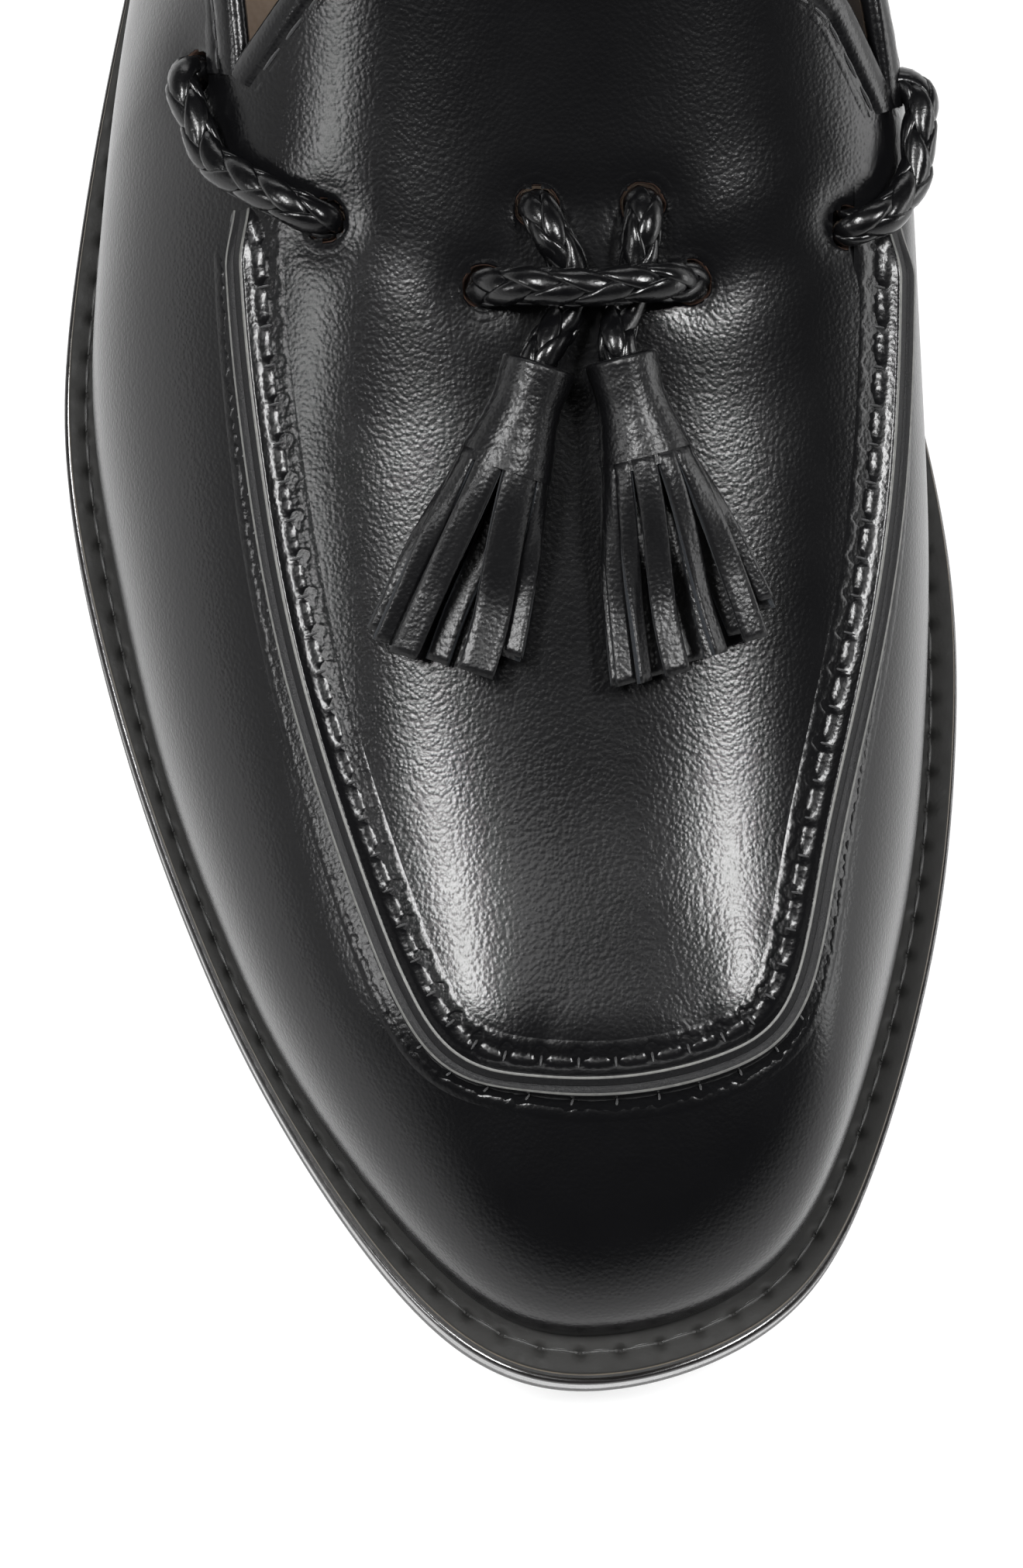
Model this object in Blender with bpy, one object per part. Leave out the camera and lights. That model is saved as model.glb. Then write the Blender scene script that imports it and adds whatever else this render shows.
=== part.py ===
"""A tassel loafer for the right foot, built the way a shoe is made, in metres.

+Z is up, the toe points to -Y and +X is the inner (medial) side of the foot.
The origin is the middle of the heel's ground face.
"""
from collections import namedtuple
from functools import lru_cache
from math import ceil, cos, pi, radians, sin

import bmesh
import bpy
import numpy as np
from mathutils import Vector

MM = 0.001

# The last, measured on the feather line where the upper meets the welt
LAST_LENGTH = 294.6 * MM
BALL_WIDTH = 101.5 * MM
HEEL_BACK = 35.0 * MM
INSTEP_HEIGHT = 72.0 * MM
COLLAR_HEIGHT = 60.0 * MM

# The upper's leather, its raised apron seam and the rolled edge of collar and tongue
WALL = 2.0 * MM
SEAM_HEIGHT = 1.8 * MM
SEAM_HALF_WIDTH = 1.0 * MM
SEAM_OUTER_STEP = 0.25 * MM
SEAM_INNER_STEP = 0.7 * MM
BINDING_HEIGHT = 0.5 * MM
BINDING_WIDTH = 2.3 * MM
BINDING_STEP = 0.4 * MM

# The bottom of the shoe
GAP = 0.3 * MM
OUTSOLE = 5.0 * MM
WELT = 2.6 * MM
WELT_MARGIN = 5.0 * MM
WELT_SETBACK = 0.6 * MM
WELT_UNDER_UPPER = 2.3 * MM
INSOLE_ABOVE_WELT = 1.5 * MM
HEEL_HEIGHT = 26.0 * MM
HEEL_LENGTH = 77.0 * MM
HEEL_TAPER = 2.0 * MM
BREAST_SLANT = 3.0 * MM
BREAST_HOLLOW = 4.0 * MM
TOP_PIECE = 6.0 * MM
TOE_SPRING = 11.0 * MM
SEAT_FRONT = 0.160          # shares of the last's length from the heel's back
BALL_BACK = 0.660
BALL_FRONT = 0.728

# The plaited lace, its holes in the leather and its tassels
LACE = 4.0 * MM
LACE_CLEARANCE = 0.5 * MM
HOLE_CLEARANCE = 0.9 * MM
BORE_CLEARANCE = 0.6 * MM
LACE_HOLE = LACE + 2 * HOLE_CLEARANCE
HOLE_DEPTH = 12.0 * MM
HOLE_SIDES = 12
LACE_STEP = 1.5 * MM
TASSEL_LENGTH = 36.5 * MM
HEAD_LENGTH = 12.5 * MM
HEAD_WALL = 1.7 * MM
HEAD_BORE = LACE + 2 * BORE_CLEARANCE
HEAD_DIAMETER = HEAD_BORE + 2 * HEAD_WALL
HEAD_BORE_DEPTH = 10.5 * MM
STRAND_BEFORE_HEAD = 2.0 * MM
STRAND_SHORT_OF_BORE = 1.0 * MM
FRINGE_THICKNESS = 5.2 * MM
FRINGE_FLARE = 0.65         # below one, the fringe widens soonest just under the head
FRINGE_THIN_AT = 0.7        # share of the fringe by which it is down to its thickness
STRIP_GROOVE = 0.42         # share of the fringe's radius
GROOVE_FULL_AT = 0.3        # share of the fringe by which the grooves are at full depth
STRIP_FLAT = 0.72           # share of a strip's width that its outer face takes

# Mesh density: columns for each row of the wall table, and levels up the wall
STEPS = 3
WALL_LEVELS = (0.0, 0.12, 0.26, 0.42, 0.59, 0.76, 0.90)
LEG_STEPS = 3
HEAD_STATIONS = (0.0, 0.5, 1.0)
FRINGE_STATIONS = (0.12, 0.3, 0.5, 0.7, 0.85, 1.0)

# How far the wall keeps its lean above the feather line, in shares of the wall's height
FOOT_HANDLE = 0.40
# Steps for measuring slopes and for walking down from an edge
ROW_STEP = 0.02
SLOPE_STEP = 0.5 * MM
EDGE_SAMPLES = 200
BISECTIONS = 40

# One row for each section round the shoe: heel back, lateral side, toe, medial side.
# along and across are shares of LAST_LENGTH from the heel's back and of BALL_WIDTH.
# edge is the welt's margin in shares of WELT_MARGIN, rise the topline's height above
# the feather line in shares of COLLAR_HEIGHT. lean and fall are degrees: how far the
# wall leans out at the feather line, and how steeply it leaves its top edge.
# shoulder is how far that top slope carries down, in shares of the wall's height.
# Rise and fall are None where the wall ends in the instep's own surface.
Section = namedtuple("Section", "along across edge lean top_along top_across rise fall shoulder")
WALL_TABLE = [
    Section(0.000, 0.000, 0.55, 10, 0.007, 0.000, 1.00, 83, 0.35),
    Section(0.019, -0.172, 0.55, 10, 0.024, -0.138, 0.97, 83, 0.35),
    Section(0.078, -0.286, 0.55, 9, 0.078, -0.236, 0.84, 82, 0.35),
    Section(0.173, -0.315, 0.55, 8, 0.166, -0.276, 0.76, 82, 0.35),
    Section(0.288, -0.340, 0.55, 9, 0.274, -0.310, 0.72, 78, 0.35),
    Section(0.389, -0.398, 0.62, 10, 0.389, -0.330, 0.79, 72, 0.35),
    Section(0.460, -0.442, 0.76, 10, 0.460, -0.330, 0.84, 62, 0.35),
    Section(0.528, -0.471, 0.96, 9, 0.515, -0.317, None, None, 0.36),
    Section(0.596, -0.493, 0.90, 8, 0.593, -0.314, None, None, 0.38),
    Section(0.670, -0.470, 0.88, 8, 0.667, -0.299, None, None, 0.38),
    Section(0.748, -0.425, 0.72, 8, 0.742, -0.266, None, None, 0.40),
    Section(0.818, -0.362, 0.68, 8, 0.828, -0.201, None, None, 0.42),
    Section(0.895, -0.266, 0.70, 9, 0.894, -0.122, None, None, 0.42),
    Section(0.977, -0.100, 0.94, 10, 0.913, -0.020, None, None, 0.42),
    Section(1.000, 0.064, 1.08, 10, 0.915, 0.095, None, None, 0.42),
    Section(0.982, 0.234, 1.00, 10, 0.907, 0.208, None, None, 0.42),
    Section(0.930, 0.344, 1.06, 9, 0.882, 0.287, None, None, 0.36),
    Section(0.838, 0.437, 1.05, 8, 0.820, 0.335, None, None, 0.28),
    Section(0.755, 0.478, 1.14, 8, 0.748, 0.389, None, None, 0.22),
    Section(0.674, 0.487, 1.20, 8, 0.676, 0.428, None, None, 0.19),
    Section(0.596, 0.470, 0.95, 5, 0.603, 0.444, None, None, 0.17),
    Section(0.522, 0.434, 0.62, 9, 0.534, 0.445, None, None, 0.165),
    Section(0.457, 0.379, 0.50, 19, 0.471, 0.419, 0.87, 68, 0.18),
    Section(0.383, 0.315, 0.50, 24, 0.389, 0.365, 0.79, 74, 0.30),
    Section(0.288, 0.271, 0.50, 20, 0.274, 0.310, 0.72, 78, 0.35),
    Section(0.173, 0.291, 0.55, 10, 0.166, 0.276, 0.76, 82, 0.35),
    Section(0.078, 0.281, 0.55, 9, 0.078, 0.236, 0.84, 82, 0.35),
    Section(0.019, 0.172, 0.55, 10, 0.024, 0.138, 0.97, 83, 0.35),
]
ROWS = len(WALL_TABLE)
NOTCH_LATERAL, TOE_LATERAL, TOE_MEDIAL, NOTCH_MEDIAL = 7, 12, 16, 21
# Rows between which the apron's seam stands up: it dies out under the side laces
SEAM_STARTS = (7.62, 7.95)
SEAM_ENDS = (20.05, 20.38)
# The grid of the vamp's top has its corners at the toe rows and at the tongue's top
GRID_ACROSS = (TOE_MEDIAL - TOE_LATERAL) * STEPS
GRID_ALONG = (TOE_LATERAL - NOTCH_LATERAL) * STEPS + LEG_STEPS

# The instep's surface, from the tongue to the toe. height is the ridge above the feather
# line in shares of INSTEP_HEIGHT; centre is the ridge's place and half the distance from
# it at which the sides have dropped by the last two columns, in shares of BALL_WIDTH and
# of INSTEP_HEIGHT.
Instep = namedtuple("Instep", "along height centre half drop_lateral drop_medial")
INSTEP_TABLE = [
    Instep(0.458, 0.986, 0.070, 0.390, 0.250, 0.260),
    Instep(0.492, 0.944, 0.070, 0.385, 0.230, 0.245),
    Instep(0.577, 0.844, 0.070, 0.385, 0.180, 0.200),
    Instep(0.661, 0.740, 0.066, 0.370, 0.140, 0.160),
    Instep(0.746, 0.636, 0.066, 0.335, 0.110, 0.125),
    Instep(0.831, 0.540, 0.070, 0.280, 0.077, 0.083),
    Instep(0.899, 0.450, 0.085, 0.210, 0.045, 0.045),
    Instep(0.932, 0.372, 0.095, 0.190, 0.042, 0.042),
]
CROWN_POWER = 2.8

# The tongue's free edge, from the lateral notch round to the medial notch
Edge = namedtuple("Edge", "along across")
TONGUE_LATERAL = Edge(0.476, -0.187)
TONGUE_TOP = [Edge(0.471, -0.080), Edge(0.472, 0.080), Edge(0.482, 0.220)]
TONGUE_MEDIAL = Edge(0.500, 0.380)

# The lace's way over the leather: wall spots are a row number and a level from feather
# to top, apron spots are shares like the tables'. lift is the height off the leather.
WallSpot = namedtuple("WallSpot", "row level lift")
ApronSpot = namedtuple("ApronSpot", "along across lift")
IN_HOLE = -WALL
AT_RIM = 0.6 * MM
ON_LEATHER = LACE / 2 + LACE_CLEARANCE
OVER_STRANDS = ON_LEATHER + LACE + 0.4 * MM
CLIMBING = 3.9 * MM
NEARLY_OVER = 6.1 * MM
LATERAL_BAR = [
    WallSpot(6.98, 0.865, IN_HOLE), WallSpot(6.98, 0.865, AT_RIM),
    WallSpot(7.08, 0.885, ON_LEATHER), WallSpot(7.27, 0.925, ON_LEATHER),
    WallSpot(7.44, 0.965, ON_LEATHER), ApronSpot(0.559, -0.290, ON_LEATHER),
    ApronSpot(0.571, -0.247, ON_LEATHER), ApronSpot(0.579, -0.221, AT_RIM),
    ApronSpot(0.579, -0.221, IN_HOLE),
]
MEDIAL_BAR = [
    WallSpot(21.12, 0.885, IN_HOLE), WallSpot(21.12, 0.885, AT_RIM),
    WallSpot(21.02, 0.910, ON_LEATHER), WallSpot(20.84, 0.950, ON_LEATHER),
    WallSpot(20.62, 0.985, ON_LEATHER), ApronSpot(0.572, 0.428, ON_LEATHER),
    ApronSpot(0.579, 0.409, ON_LEATHER), ApronSpot(0.584, 0.388, AT_RIM),
    ApronSpot(0.584, 0.388, IN_HOLE),
]
CENTRE_BAR = [
    ApronSpot(0.611, -0.040, IN_HOLE), ApronSpot(0.611, -0.040, AT_RIM),
    ApronSpot(0.611, -0.020, CLIMBING), ApronSpot(0.611, 0.014, NEARLY_OVER),
    ApronSpot(0.612, 0.049, OVER_STRANDS), ApronSpot(0.612, 0.091, OVER_STRANDS),
    ApronSpot(0.611, 0.130, OVER_STRANDS), ApronSpot(0.611, 0.163, NEARLY_OVER),
    ApronSpot(0.611, 0.181, CLIMBING), ApronSpot(0.611, 0.197, AT_RIM),
    ApronSpot(0.611, 0.197, IN_HOLE),
]
# top is where the head starts, turn its heading in degrees, lengths its strips' in shares
Tassel = namedtuple("Tassel", "side top turn spread lengths strand")
TASSELS = [
    Tassel("lateral", Edge(0.6415, 0.017), -19.5, 8.0 * MM, (0.86, 0.92, 0.98, 1.0, 0.97, 0.93),
           [ApronSpot(0.583, 0.023, IN_HOLE), ApronSpot(0.583, 0.023, AT_RIM),
            ApronSpot(0.592, 0.036, ON_LEATHER), ApronSpot(0.602, 0.052, ON_LEATHER),
            ApronSpot(0.611, 0.058, ON_LEATHER), ApronSpot(0.623, 0.050, ON_LEATHER)]),
    Tassel("medial", Edge(0.640, 0.110), 12.5, 9.7 * MM, (0.99, 1.0, 0.99, 0.96, 0.91, 0.83),
           [ApronSpot(0.583, 0.144, IN_HOLE), ApronSpot(0.583, 0.144, AT_RIM),
            ApronSpot(0.591, 0.140, ON_LEATHER), ApronSpot(0.602, 0.135, ON_LEATHER),
            ApronSpot(0.611, 0.129, ON_LEATHER), ApronSpot(0.623, 0.115, ON_LEATHER)]),
]

MATERIALS = {
    "calf": ((0.012, 0.012, 0.013), 0.38),
    "outsole_leather": ((0.020, 0.018, 0.017), 0.30),
    "welt_leather": ((0.022, 0.021, 0.021), 0.60),
    "insole_leather": ((0.110, 0.070, 0.042), 0.65),
    "heel_rubber": ((0.018, 0.018, 0.018), 0.75),
    "lace_leather": ((0.010, 0.010, 0.011), 0.25),
}


def clear_scene():
    for thing in list(bpy.data.objects):
        bpy.data.objects.remove(thing, do_unlink=True)


def new_collection(name):
    collection = bpy.data.collections.new(name)
    bpy.context.scene.collection.children.link(collection)
    return collection


def new_material(name):
    color, roughness = MATERIALS[name]
    material = bpy.data.materials.new(name)
    material.use_nodes = True
    shader = material.node_tree.nodes["Principled BSDF"]
    shader.inputs["Base Color"].default_value = (*color, 1.0)
    shader.inputs["Roughness"].default_value = roughness
    shader.inputs["Metallic"].default_value = 0.0
    return material


def catmull(before, start, end, after, t):
    """A smooth curve from start to end that also heeds the points on either side."""
    pull = (end - before) * t
    bend = (2 * before - 5 * start + 4 * end - after) * t**2
    turn = (3 * start - before - 3 * end + after) * t**3
    return start + 0.5 * (pull + bend + turn)


@lru_cache(maxsize=None)
def closed_spline():
    """Turns values at the rows into the controls of a closed B-spline through them."""
    unit = np.eye(ROWS)
    beside = np.roll(unit, 1, axis=0) + np.roll(unit, -1, axis=0)
    return np.linalg.inv((4 * unit + beside) / 6)


@lru_cache(maxsize=None)
def column_controls(column):
    return closed_spline() @ np.array([getattr(line, column) for line in WALL_TABLE])


def read_controls(controls, row):
    i = int(np.floor(row))
    t = row - i
    weights = ((1 - t)**3, 3 * t**3 - 6 * t**2 + 4, 1 + 3 * t + 3 * t**2 - 3 * t**3, t**3)
    return sum(weight * controls[(i + k) % ROWS] for weight, k in zip(weights, (-1, 0, 1, 2))) / 6


def round_the_shoe(column, row):
    """Reads one column of the wall table between its rows."""
    return read_controls(column_controls(column), row)


@lru_cache(maxsize=None)
def instep_column(column):
    """The instep table's rows, one column's values there, and its smooth spline's slopes."""
    xs = np.array([line.along for line in INSTEP_TABLE])
    ys = np.array([getattr(line, column) for line in INSTEP_TABLE])
    steps, rises = np.diff(xs), np.diff(ys)
    last = len(xs) - 1
    pull = np.zeros((last + 1, last + 1))
    push = np.zeros(last + 1)
    pull[0, :2], push[0] = (2, 1), 3 * rises[0] / steps[0]
    pull[last, -2:], push[last] = (1, 2), 3 * rises[-1] / steps[-1]
    for i in range(1, last):
        before, after = steps[i - 1], steps[i]
        pull[i, i - 1:i + 2] = (1 / before, 2 / before + 2 / after, 1 / after)
        push[i] = 3 * (rises[i - 1] / before**2 + rises[i] / after**2)
    return xs, ys, np.linalg.solve(pull, push)


def along_instep(column, along):
    """Reads one column of the instep table between its rows."""
    xs, ys, slopes = instep_column(column)
    i = int(np.clip(np.searchsorted(xs, along) - 1, 0, len(xs) - 2))
    width = xs[i + 1] - xs[i]
    t = (along - xs[i]) / width
    level = ys[i] * (2 * t**3 - 3 * t**2 + 1) + ys[i + 1] * (3 * t**2 - 2 * t**3)
    return level + width * (slopes[i] * (t**3 - 2 * t**2 + t) + slopes[i + 1] * (t**3 - t**2))


def smooth(t):
    t = min(max(t, 0.0), 1.0)
    return t * t * (3 - 2 * t)


def to_plan(along, across):
    return Vector((across * BALL_WIDTH, HEEL_BACK - along * LAST_LENGTH))


def to_along(y):
    return (HEEL_BACK - y) / LAST_LENGTH


def ground_clearance(y):
    """Height of the outsole's underside: flat seat, arch, flat ball and toe spring."""
    along = to_along(y)
    arch = 1 - smooth((along - SEAT_FRONT) / (BALL_BACK - SEAT_FRONT))
    spring = max(along - BALL_FRONT, 0.0) / (1 - BALL_FRONT)
    return HEEL_HEIGHT * arch + TOE_SPRING * spring**2


def welt_top(y):
    return ground_clearance(y) + OUTSOLE + GAP + WELT


def feather_height(y):
    return welt_top(y) + GAP


def instep_height(x, y):
    """Height of the vamp's upper surface, apron and tongue together."""
    along = to_along(y)
    ridge = feather_height(y) + along_instep("height", along) * INSTEP_HEIGHT
    off = x - along_instep("centre", along) * BALL_WIDTH
    half = along_instep("half", along) * BALL_WIDTH
    drop = along_instep("drop_lateral" if off < 0 else "drop_medial", along) * INSTEP_HEIGHT
    return ridge - drop * (abs(off) / half) ** CROWN_POWER


def on_instep(point):
    return Vector((point.x, point.y, instep_height(point.x, point.y)))


def instep_normal(x, y):
    step = SLOPE_STEP
    slope_x = (instep_height(x + step, y) - instep_height(x - step, y)) / (2 * step)
    slope_y = (instep_height(x, y + step) - instep_height(x, y - step)) / (2 * step)
    return Vector((-slope_x, -slope_y, 1.0)).normalized()


def feather_plan(row):
    """The feather line, seen from above."""
    return to_plan(round_the_shoe("along", row), round_the_shoe("across", row))


def outward(row):
    """The feather line's outward direction, seen from above."""
    run = feather_plan(row + ROW_STEP) - feather_plan(row - ROW_STEP)
    return Vector((run.y, -run.x)).normalized()


def top_plan(row):
    """The wall's top edge, seen from above."""
    return to_plan(round_the_shoe("top_along", row), round_the_shoe("top_across", row))


def in_vamp(row):
    return NOTCH_LATERAL <= row % ROWS <= NOTCH_MEDIAL


def vamp_edge(row):
    """Top point of the wall on the instep's surface, and the way that it falls outward."""
    point = on_instep(top_plan(row))
    side = outward(row).to_3d()
    normal = instep_normal(point.x, point.y)
    return point, (side - normal * side.dot(normal)).normalized()


@lru_cache(maxsize=None)
def collar_controls():
    """Spline controls of the top edge's rise above the feather line and its way down."""
    lines = []
    for number, line in enumerate(WALL_TABLE):
        if line.rise is None:
            point, down = vamp_edge(number)
            rise = (point.z - feather_height(point.y)) / COLLAR_HEIGHT
        else:
            side = outward(number)
            fall = radians(line.fall)
            down = Vector((side.x * cos(fall), side.y * cos(fall), -sin(fall)))
            rise = line.rise
        lines.append((rise, *down))
    return closed_spline() @ np.array(lines)


def collar_edge(row):
    """Top point of a quarter's wall on the collar, and the way that it falls outward."""
    rise, *down = read_controls(collar_controls(), row)
    x, y = top_plan(row)
    return Vector((x, y, feather_height(y) + rise * COLLAR_HEIGHT)), Vector(down).normalized()


def wall_curve(row):
    """The four control points of the wall's section, from feather line to top edge."""
    plan = feather_plan(row)
    foot = Vector((plan.x, plan.y, feather_height(plan.y)))
    top, down = vamp_edge(row) if in_vamp(row) else collar_edge(row)
    chord = (top - foot).length
    lean = radians(round_the_shoe("lean", row))
    side = outward(row)
    rising = Vector((side.x * sin(lean), side.y * sin(lean), cos(lean)))
    shoulder = round_the_shoe("shoulder", row)
    return foot, foot + rising * chord * FOOT_HANDLE, top + down * chord * shoulder, top


def on_curve(controls, level):
    a, b, c, d = controls
    rest = 1 - level
    return a * rest**3 + b * 3 * rest**2 * level + c * 3 * rest * level**2 + d * level**3


def level_below_top(controls, distance):
    """The level of the wall's section that lies this far down from its top edge."""
    here, level = controls[3], 1.0
    while distance > 0:
        level -= 1 / EDGE_SAMPLES
        below = on_curve(controls, level)
        distance -= (here - below).length
        here = below
    return level


def spot_on_leather(spot):
    """A point of the lace's way, lifted off the leather, and the leather's normal."""
    if isinstance(spot, ApronSpot):
        base = on_instep(to_plan(spot.along, spot.across))
        normal = instep_normal(base.x, base.y)
    else:
        here = wall_curve(spot.row)
        base = on_curve(here, spot.level)
        up = on_curve(here, spot.level + 1 / EDGE_SAMPLES) - base
        along = on_curve(wall_curve(spot.row + ROW_STEP), spot.level) - base
        normal = along.cross(up).normalized()
    return base + normal * spot.lift, normal


def seam_share(row):
    """One where the apron's seam stands at its full height, zero where there is none."""
    row = row % ROWS
    rising = smooth((row - SEAM_STARTS[0]) / (SEAM_STARTS[1] - SEAM_STARTS[0]))
    falling = smooth((SEAM_ENDS[1] - row) / (SEAM_ENDS[1] - SEAM_ENDS[0]))
    return rising * falling


def binding_share(row):
    """One on the collar's rolled edge, zero where the wall runs on into the vamp."""
    row = row % ROWS
    return 1 - smooth(row - NOTCH_LATERAL) * smooth(NOTCH_MEDIAL - row)


EdgeForm = namedtuple("EdgeForm", "ridge half outer_step inner_step")
TONGUE_EDGE = EdgeForm(BINDING_HEIGHT, BINDING_WIDTH, BINDING_STEP, BINDING_STEP)


def edge_form(row):
    """How high and wide the wall's top edge stands up, as seam, as binding or between."""
    seam, binding = seam_share(row), binding_share(row)
    return EdgeForm(SEAM_HEIGHT * seam + BINDING_HEIGHT * binding,
                    SEAM_HALF_WIDTH * (1 - binding) + BINDING_WIDTH * binding,
                    SEAM_OUTER_STEP * (1 - binding) + BINDING_STEP * binding,
                    SEAM_INNER_STEP * (1 - binding) + BINDING_STEP * binding)


def loop_plan():
    """The vamp's outline from above: seam, medial notch, tongue and lateral notch."""
    first, last = NOTCH_LATERAL * STEPS, NOTCH_MEDIAL * STEPS
    outline = [top_plan(k / STEPS) for k in range(first, last + 1)]
    corner_in = to_plan(*TONGUE_MEDIAL)
    corner_out = to_plan(*TONGUE_LATERAL)
    top = [corner_in] + [to_plan(*edge) for edge in reversed(TONGUE_TOP)] + [corner_out]
    ends = [top[0] * 2 - top[1], *top, top[-1] * 2 - top[-2]]
    leg = [outline[-1].lerp(corner_in, k / LEG_STEPS) for k in range(1, LEG_STEPS)]
    back = []
    for k in range(GRID_ACROSS + 1):
        place = k / GRID_ACROSS * (len(top) - 1)
        i = min(int(place), len(top) - 2)
        back.append(catmull(*ends[i:i + 4], place - i))
    other_leg = [corner_out.lerp(outline[0], k / LEG_STEPS) for k in range(1, LEG_STEPS)]
    return outline + leg + back + other_leg


def inset(outline, distances):
    """Moves each point of a closed outline inward, at right angles to its neighbours."""
    moved = []
    count = len(outline)
    for k, point in enumerate(outline):
        run = outline[(k + 1) % count] - outline[k - 1]
        inward = Vector((-run.y, run.x)).normalized()
        moved.append(point + inward * distances[k])
    return moved


def fill_grid(ring, across, along):
    """Points between the four sides of a ring that starts at the grid's first corner."""
    left = ring[:along + 1]
    front = ring[along:along + across + 1]
    right = ring[along + across:2 * along + across + 1][::-1]
    back = (ring[2 * along + across:] + ring[:1])[::-1]
    grid = []
    for j in range(along + 1):
        t = j / along
        line = []
        for i in range(across + 1):
            s = i / across
            sides = left[j].lerp(right[j], s)
            ends = back[i].lerp(front[i], t)
            corners = back[0].lerp(back[-1], s).lerp(front[0].lerp(front[-1], s), t)
            line.append(sides + ends - corners)
        grid.append(line)
    return grid


def make_wall_column(bm, raised, row):
    """One column of the wall's points, from the feather line to its raised top edge."""
    controls = wall_curve(row)
    form = edge_form(row)
    foot = level_below_top(controls, form.half + form.outer_step)
    levels = [share * foot for share in WALL_LEVELS]
    levels += [foot, level_below_top(controls, form.half), 1.0]
    column = [bm.verts.new(on_curve(controls, level)) for level in levels]
    for vert in column[-2:]:
        raised[vert] = form.ridge
    return column


def make_wall(bm, raised):
    """The wall right round the shoe, and its columns of points."""
    columns = [make_wall_column(bm, raised, k / STEPS) for k in range(ROWS * STEPS)]
    for here, beside in zip(columns, columns[1:] + columns[:1]):
        for low in range(len(here) - 1):
            bm.faces.new((here[low], beside[low], beside[low + 1], here[low + 1]))
    return columns


def make_vamp_top(bm, raised, shared):
    """The vamp's top within its edge: from the wall's own points over a crest to a field."""
    outline = loop_plan()
    rows = [NOTCH_LATERAL + k / STEPS for k in range(len(shared))]
    forms = [edge_form(row) for row in rows]
    forms += [TONGUE_EDGE] * (len(outline) - len(shared))

    def raised_vert(point, form):
        vert = bm.verts.new(on_instep(point))
        raised[vert] = form.ridge
        return vert

    free = zip(outline[len(shared):], forms[len(shared):])
    rim = shared + [raised_vert(point, form) for point, form in free]
    crest_plan = inset(outline, [form.half for form in forms])
    crest = [raised_vert(point, form) for point, form in zip(crest_plan, forms)]
    field_plan = inset(outline, [form.half + form.inner_step for form in forms])
    turn = len(outline) - LEG_STEPS
    plan = fill_grid(field_plan[turn:] + field_plan[:turn], GRID_ACROSS, GRID_ALONG)
    grid = [[bm.verts.new(on_instep(point)) for point in line] for line in plan]
    left = [line[0] for line in grid]
    right = [line[-1] for line in grid]
    ring = left + grid[-1][1:-1] + right[::-1] + grid[0][-2:0:-1]
    ring = ring[LEG_STEPS:] + ring[:LEG_STEPS]
    for outer, inner in ((rim, crest), (crest, ring)):
        for k in range(len(ring)):
            bm.faces.new((outer[k - 1], outer[k], inner[k], inner[k - 1]))
    for near, ahead in zip(grid, grid[1:]):
        for i in range(GRID_ACROSS):
            bm.faces.new((near[i], ahead[i], ahead[i + 1], near[i + 1]))


def thicken(bm, raised, wall):
    """Makes a closed wall of the open sheet: out by each point's own ridge, in by the wall."""
    bm.normal_update()
    outer = list(bm.verts)
    faces = list(bm.faces)
    rims = [edge.link_loops[0] for edge in bm.edges if edge.is_boundary]
    rims = [(loop.vert, loop.link_loop_next.vert) for loop in rims]
    inner = {vert: bm.verts.new(vert.co - vert.normal * wall) for vert in outer}
    for face in faces:
        bm.faces.new([inner[vert] for vert in reversed(face.verts)])
    for start, end in rims:
        bm.faces.new((end, start, inner[start], inner[end]))
    for vert, ridge in raised.items():
        vert.co += vert.normal * ridge


def object_from(bm, name, material, collection, angle=40):
    bmesh.ops.recalc_face_normals(bm, faces=bm.faces)
    mesh = bpy.data.meshes.new(name)
    bm.to_mesh(mesh)
    bm.free()
    mesh.shade_smooth()
    mesh.set_sharp_from_angle(angle=radians(angle))
    mesh.materials.append(material)
    made = bpy.data.objects.new(name, mesh)
    collection.objects.link(made)
    return made


def make_upper(material, collection):
    bm = bmesh.new()
    raised = {}
    columns = make_wall(bm, raised)
    edge = columns[NOTCH_LATERAL * STEPS:NOTCH_MEDIAL * STEPS + 1]
    make_vamp_top(bm, raised, [column[-1] for column in edge])
    thicken(bm, raised, WALL)
    return object_from(bm, "upper", material, collection)


def bore(target, name, middle, direction, diameter, depth, cutters):
    """Cuts one round hole through or into the target."""
    bpy.ops.mesh.primitive_cylinder_add(vertices=HOLE_SIDES, radius=diameter / 2, depth=depth,
                                        location=middle)
    cutter = bpy.context.object
    cutter.name = name
    cutter.rotation_euler = direction.to_track_quat("Z", "Y").to_euler()
    cutter.hide_render = True
    cutter.display_type = "WIRE"
    for owner in list(cutter.users_collection):
        owner.objects.unlink(cutter)
    cutters.objects.link(cutter)
    cut = target.modifiers.new(name, "BOOLEAN")
    cut.operation = "DIFFERENCE"
    cut.solver = "EXACT"
    cut.object = cutter


def outline_point(row, margin):
    """A point beside the feather line, by the margin outward, seen from above."""
    return feather_plan(row) + outward(row) * margin


def sole_edge(row):
    """The welt's and the outsole's outline, seen from above."""
    return outline_point(row, round_the_shoe("edge", row) * WELT_MARGIN)


def rungs(outline_at, lateral_end, medial_end, count, across, hollow=0.0):
    """Lines across the sole between its two sides, from the heel's back forward."""
    lines = []
    for k in range(count + 1):
        share = k / count
        left = outline_at(lateral_end * share)
        right = outline_at(-medial_end * share)
        line = []
        for i in range(across + 1):
            s = i / across
            point = left.lerp(right, s)
            point.y += hollow * 4 * s * (1 - s) * share**2
            line.append(point)
        lines.append(line)
    return lines


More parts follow.
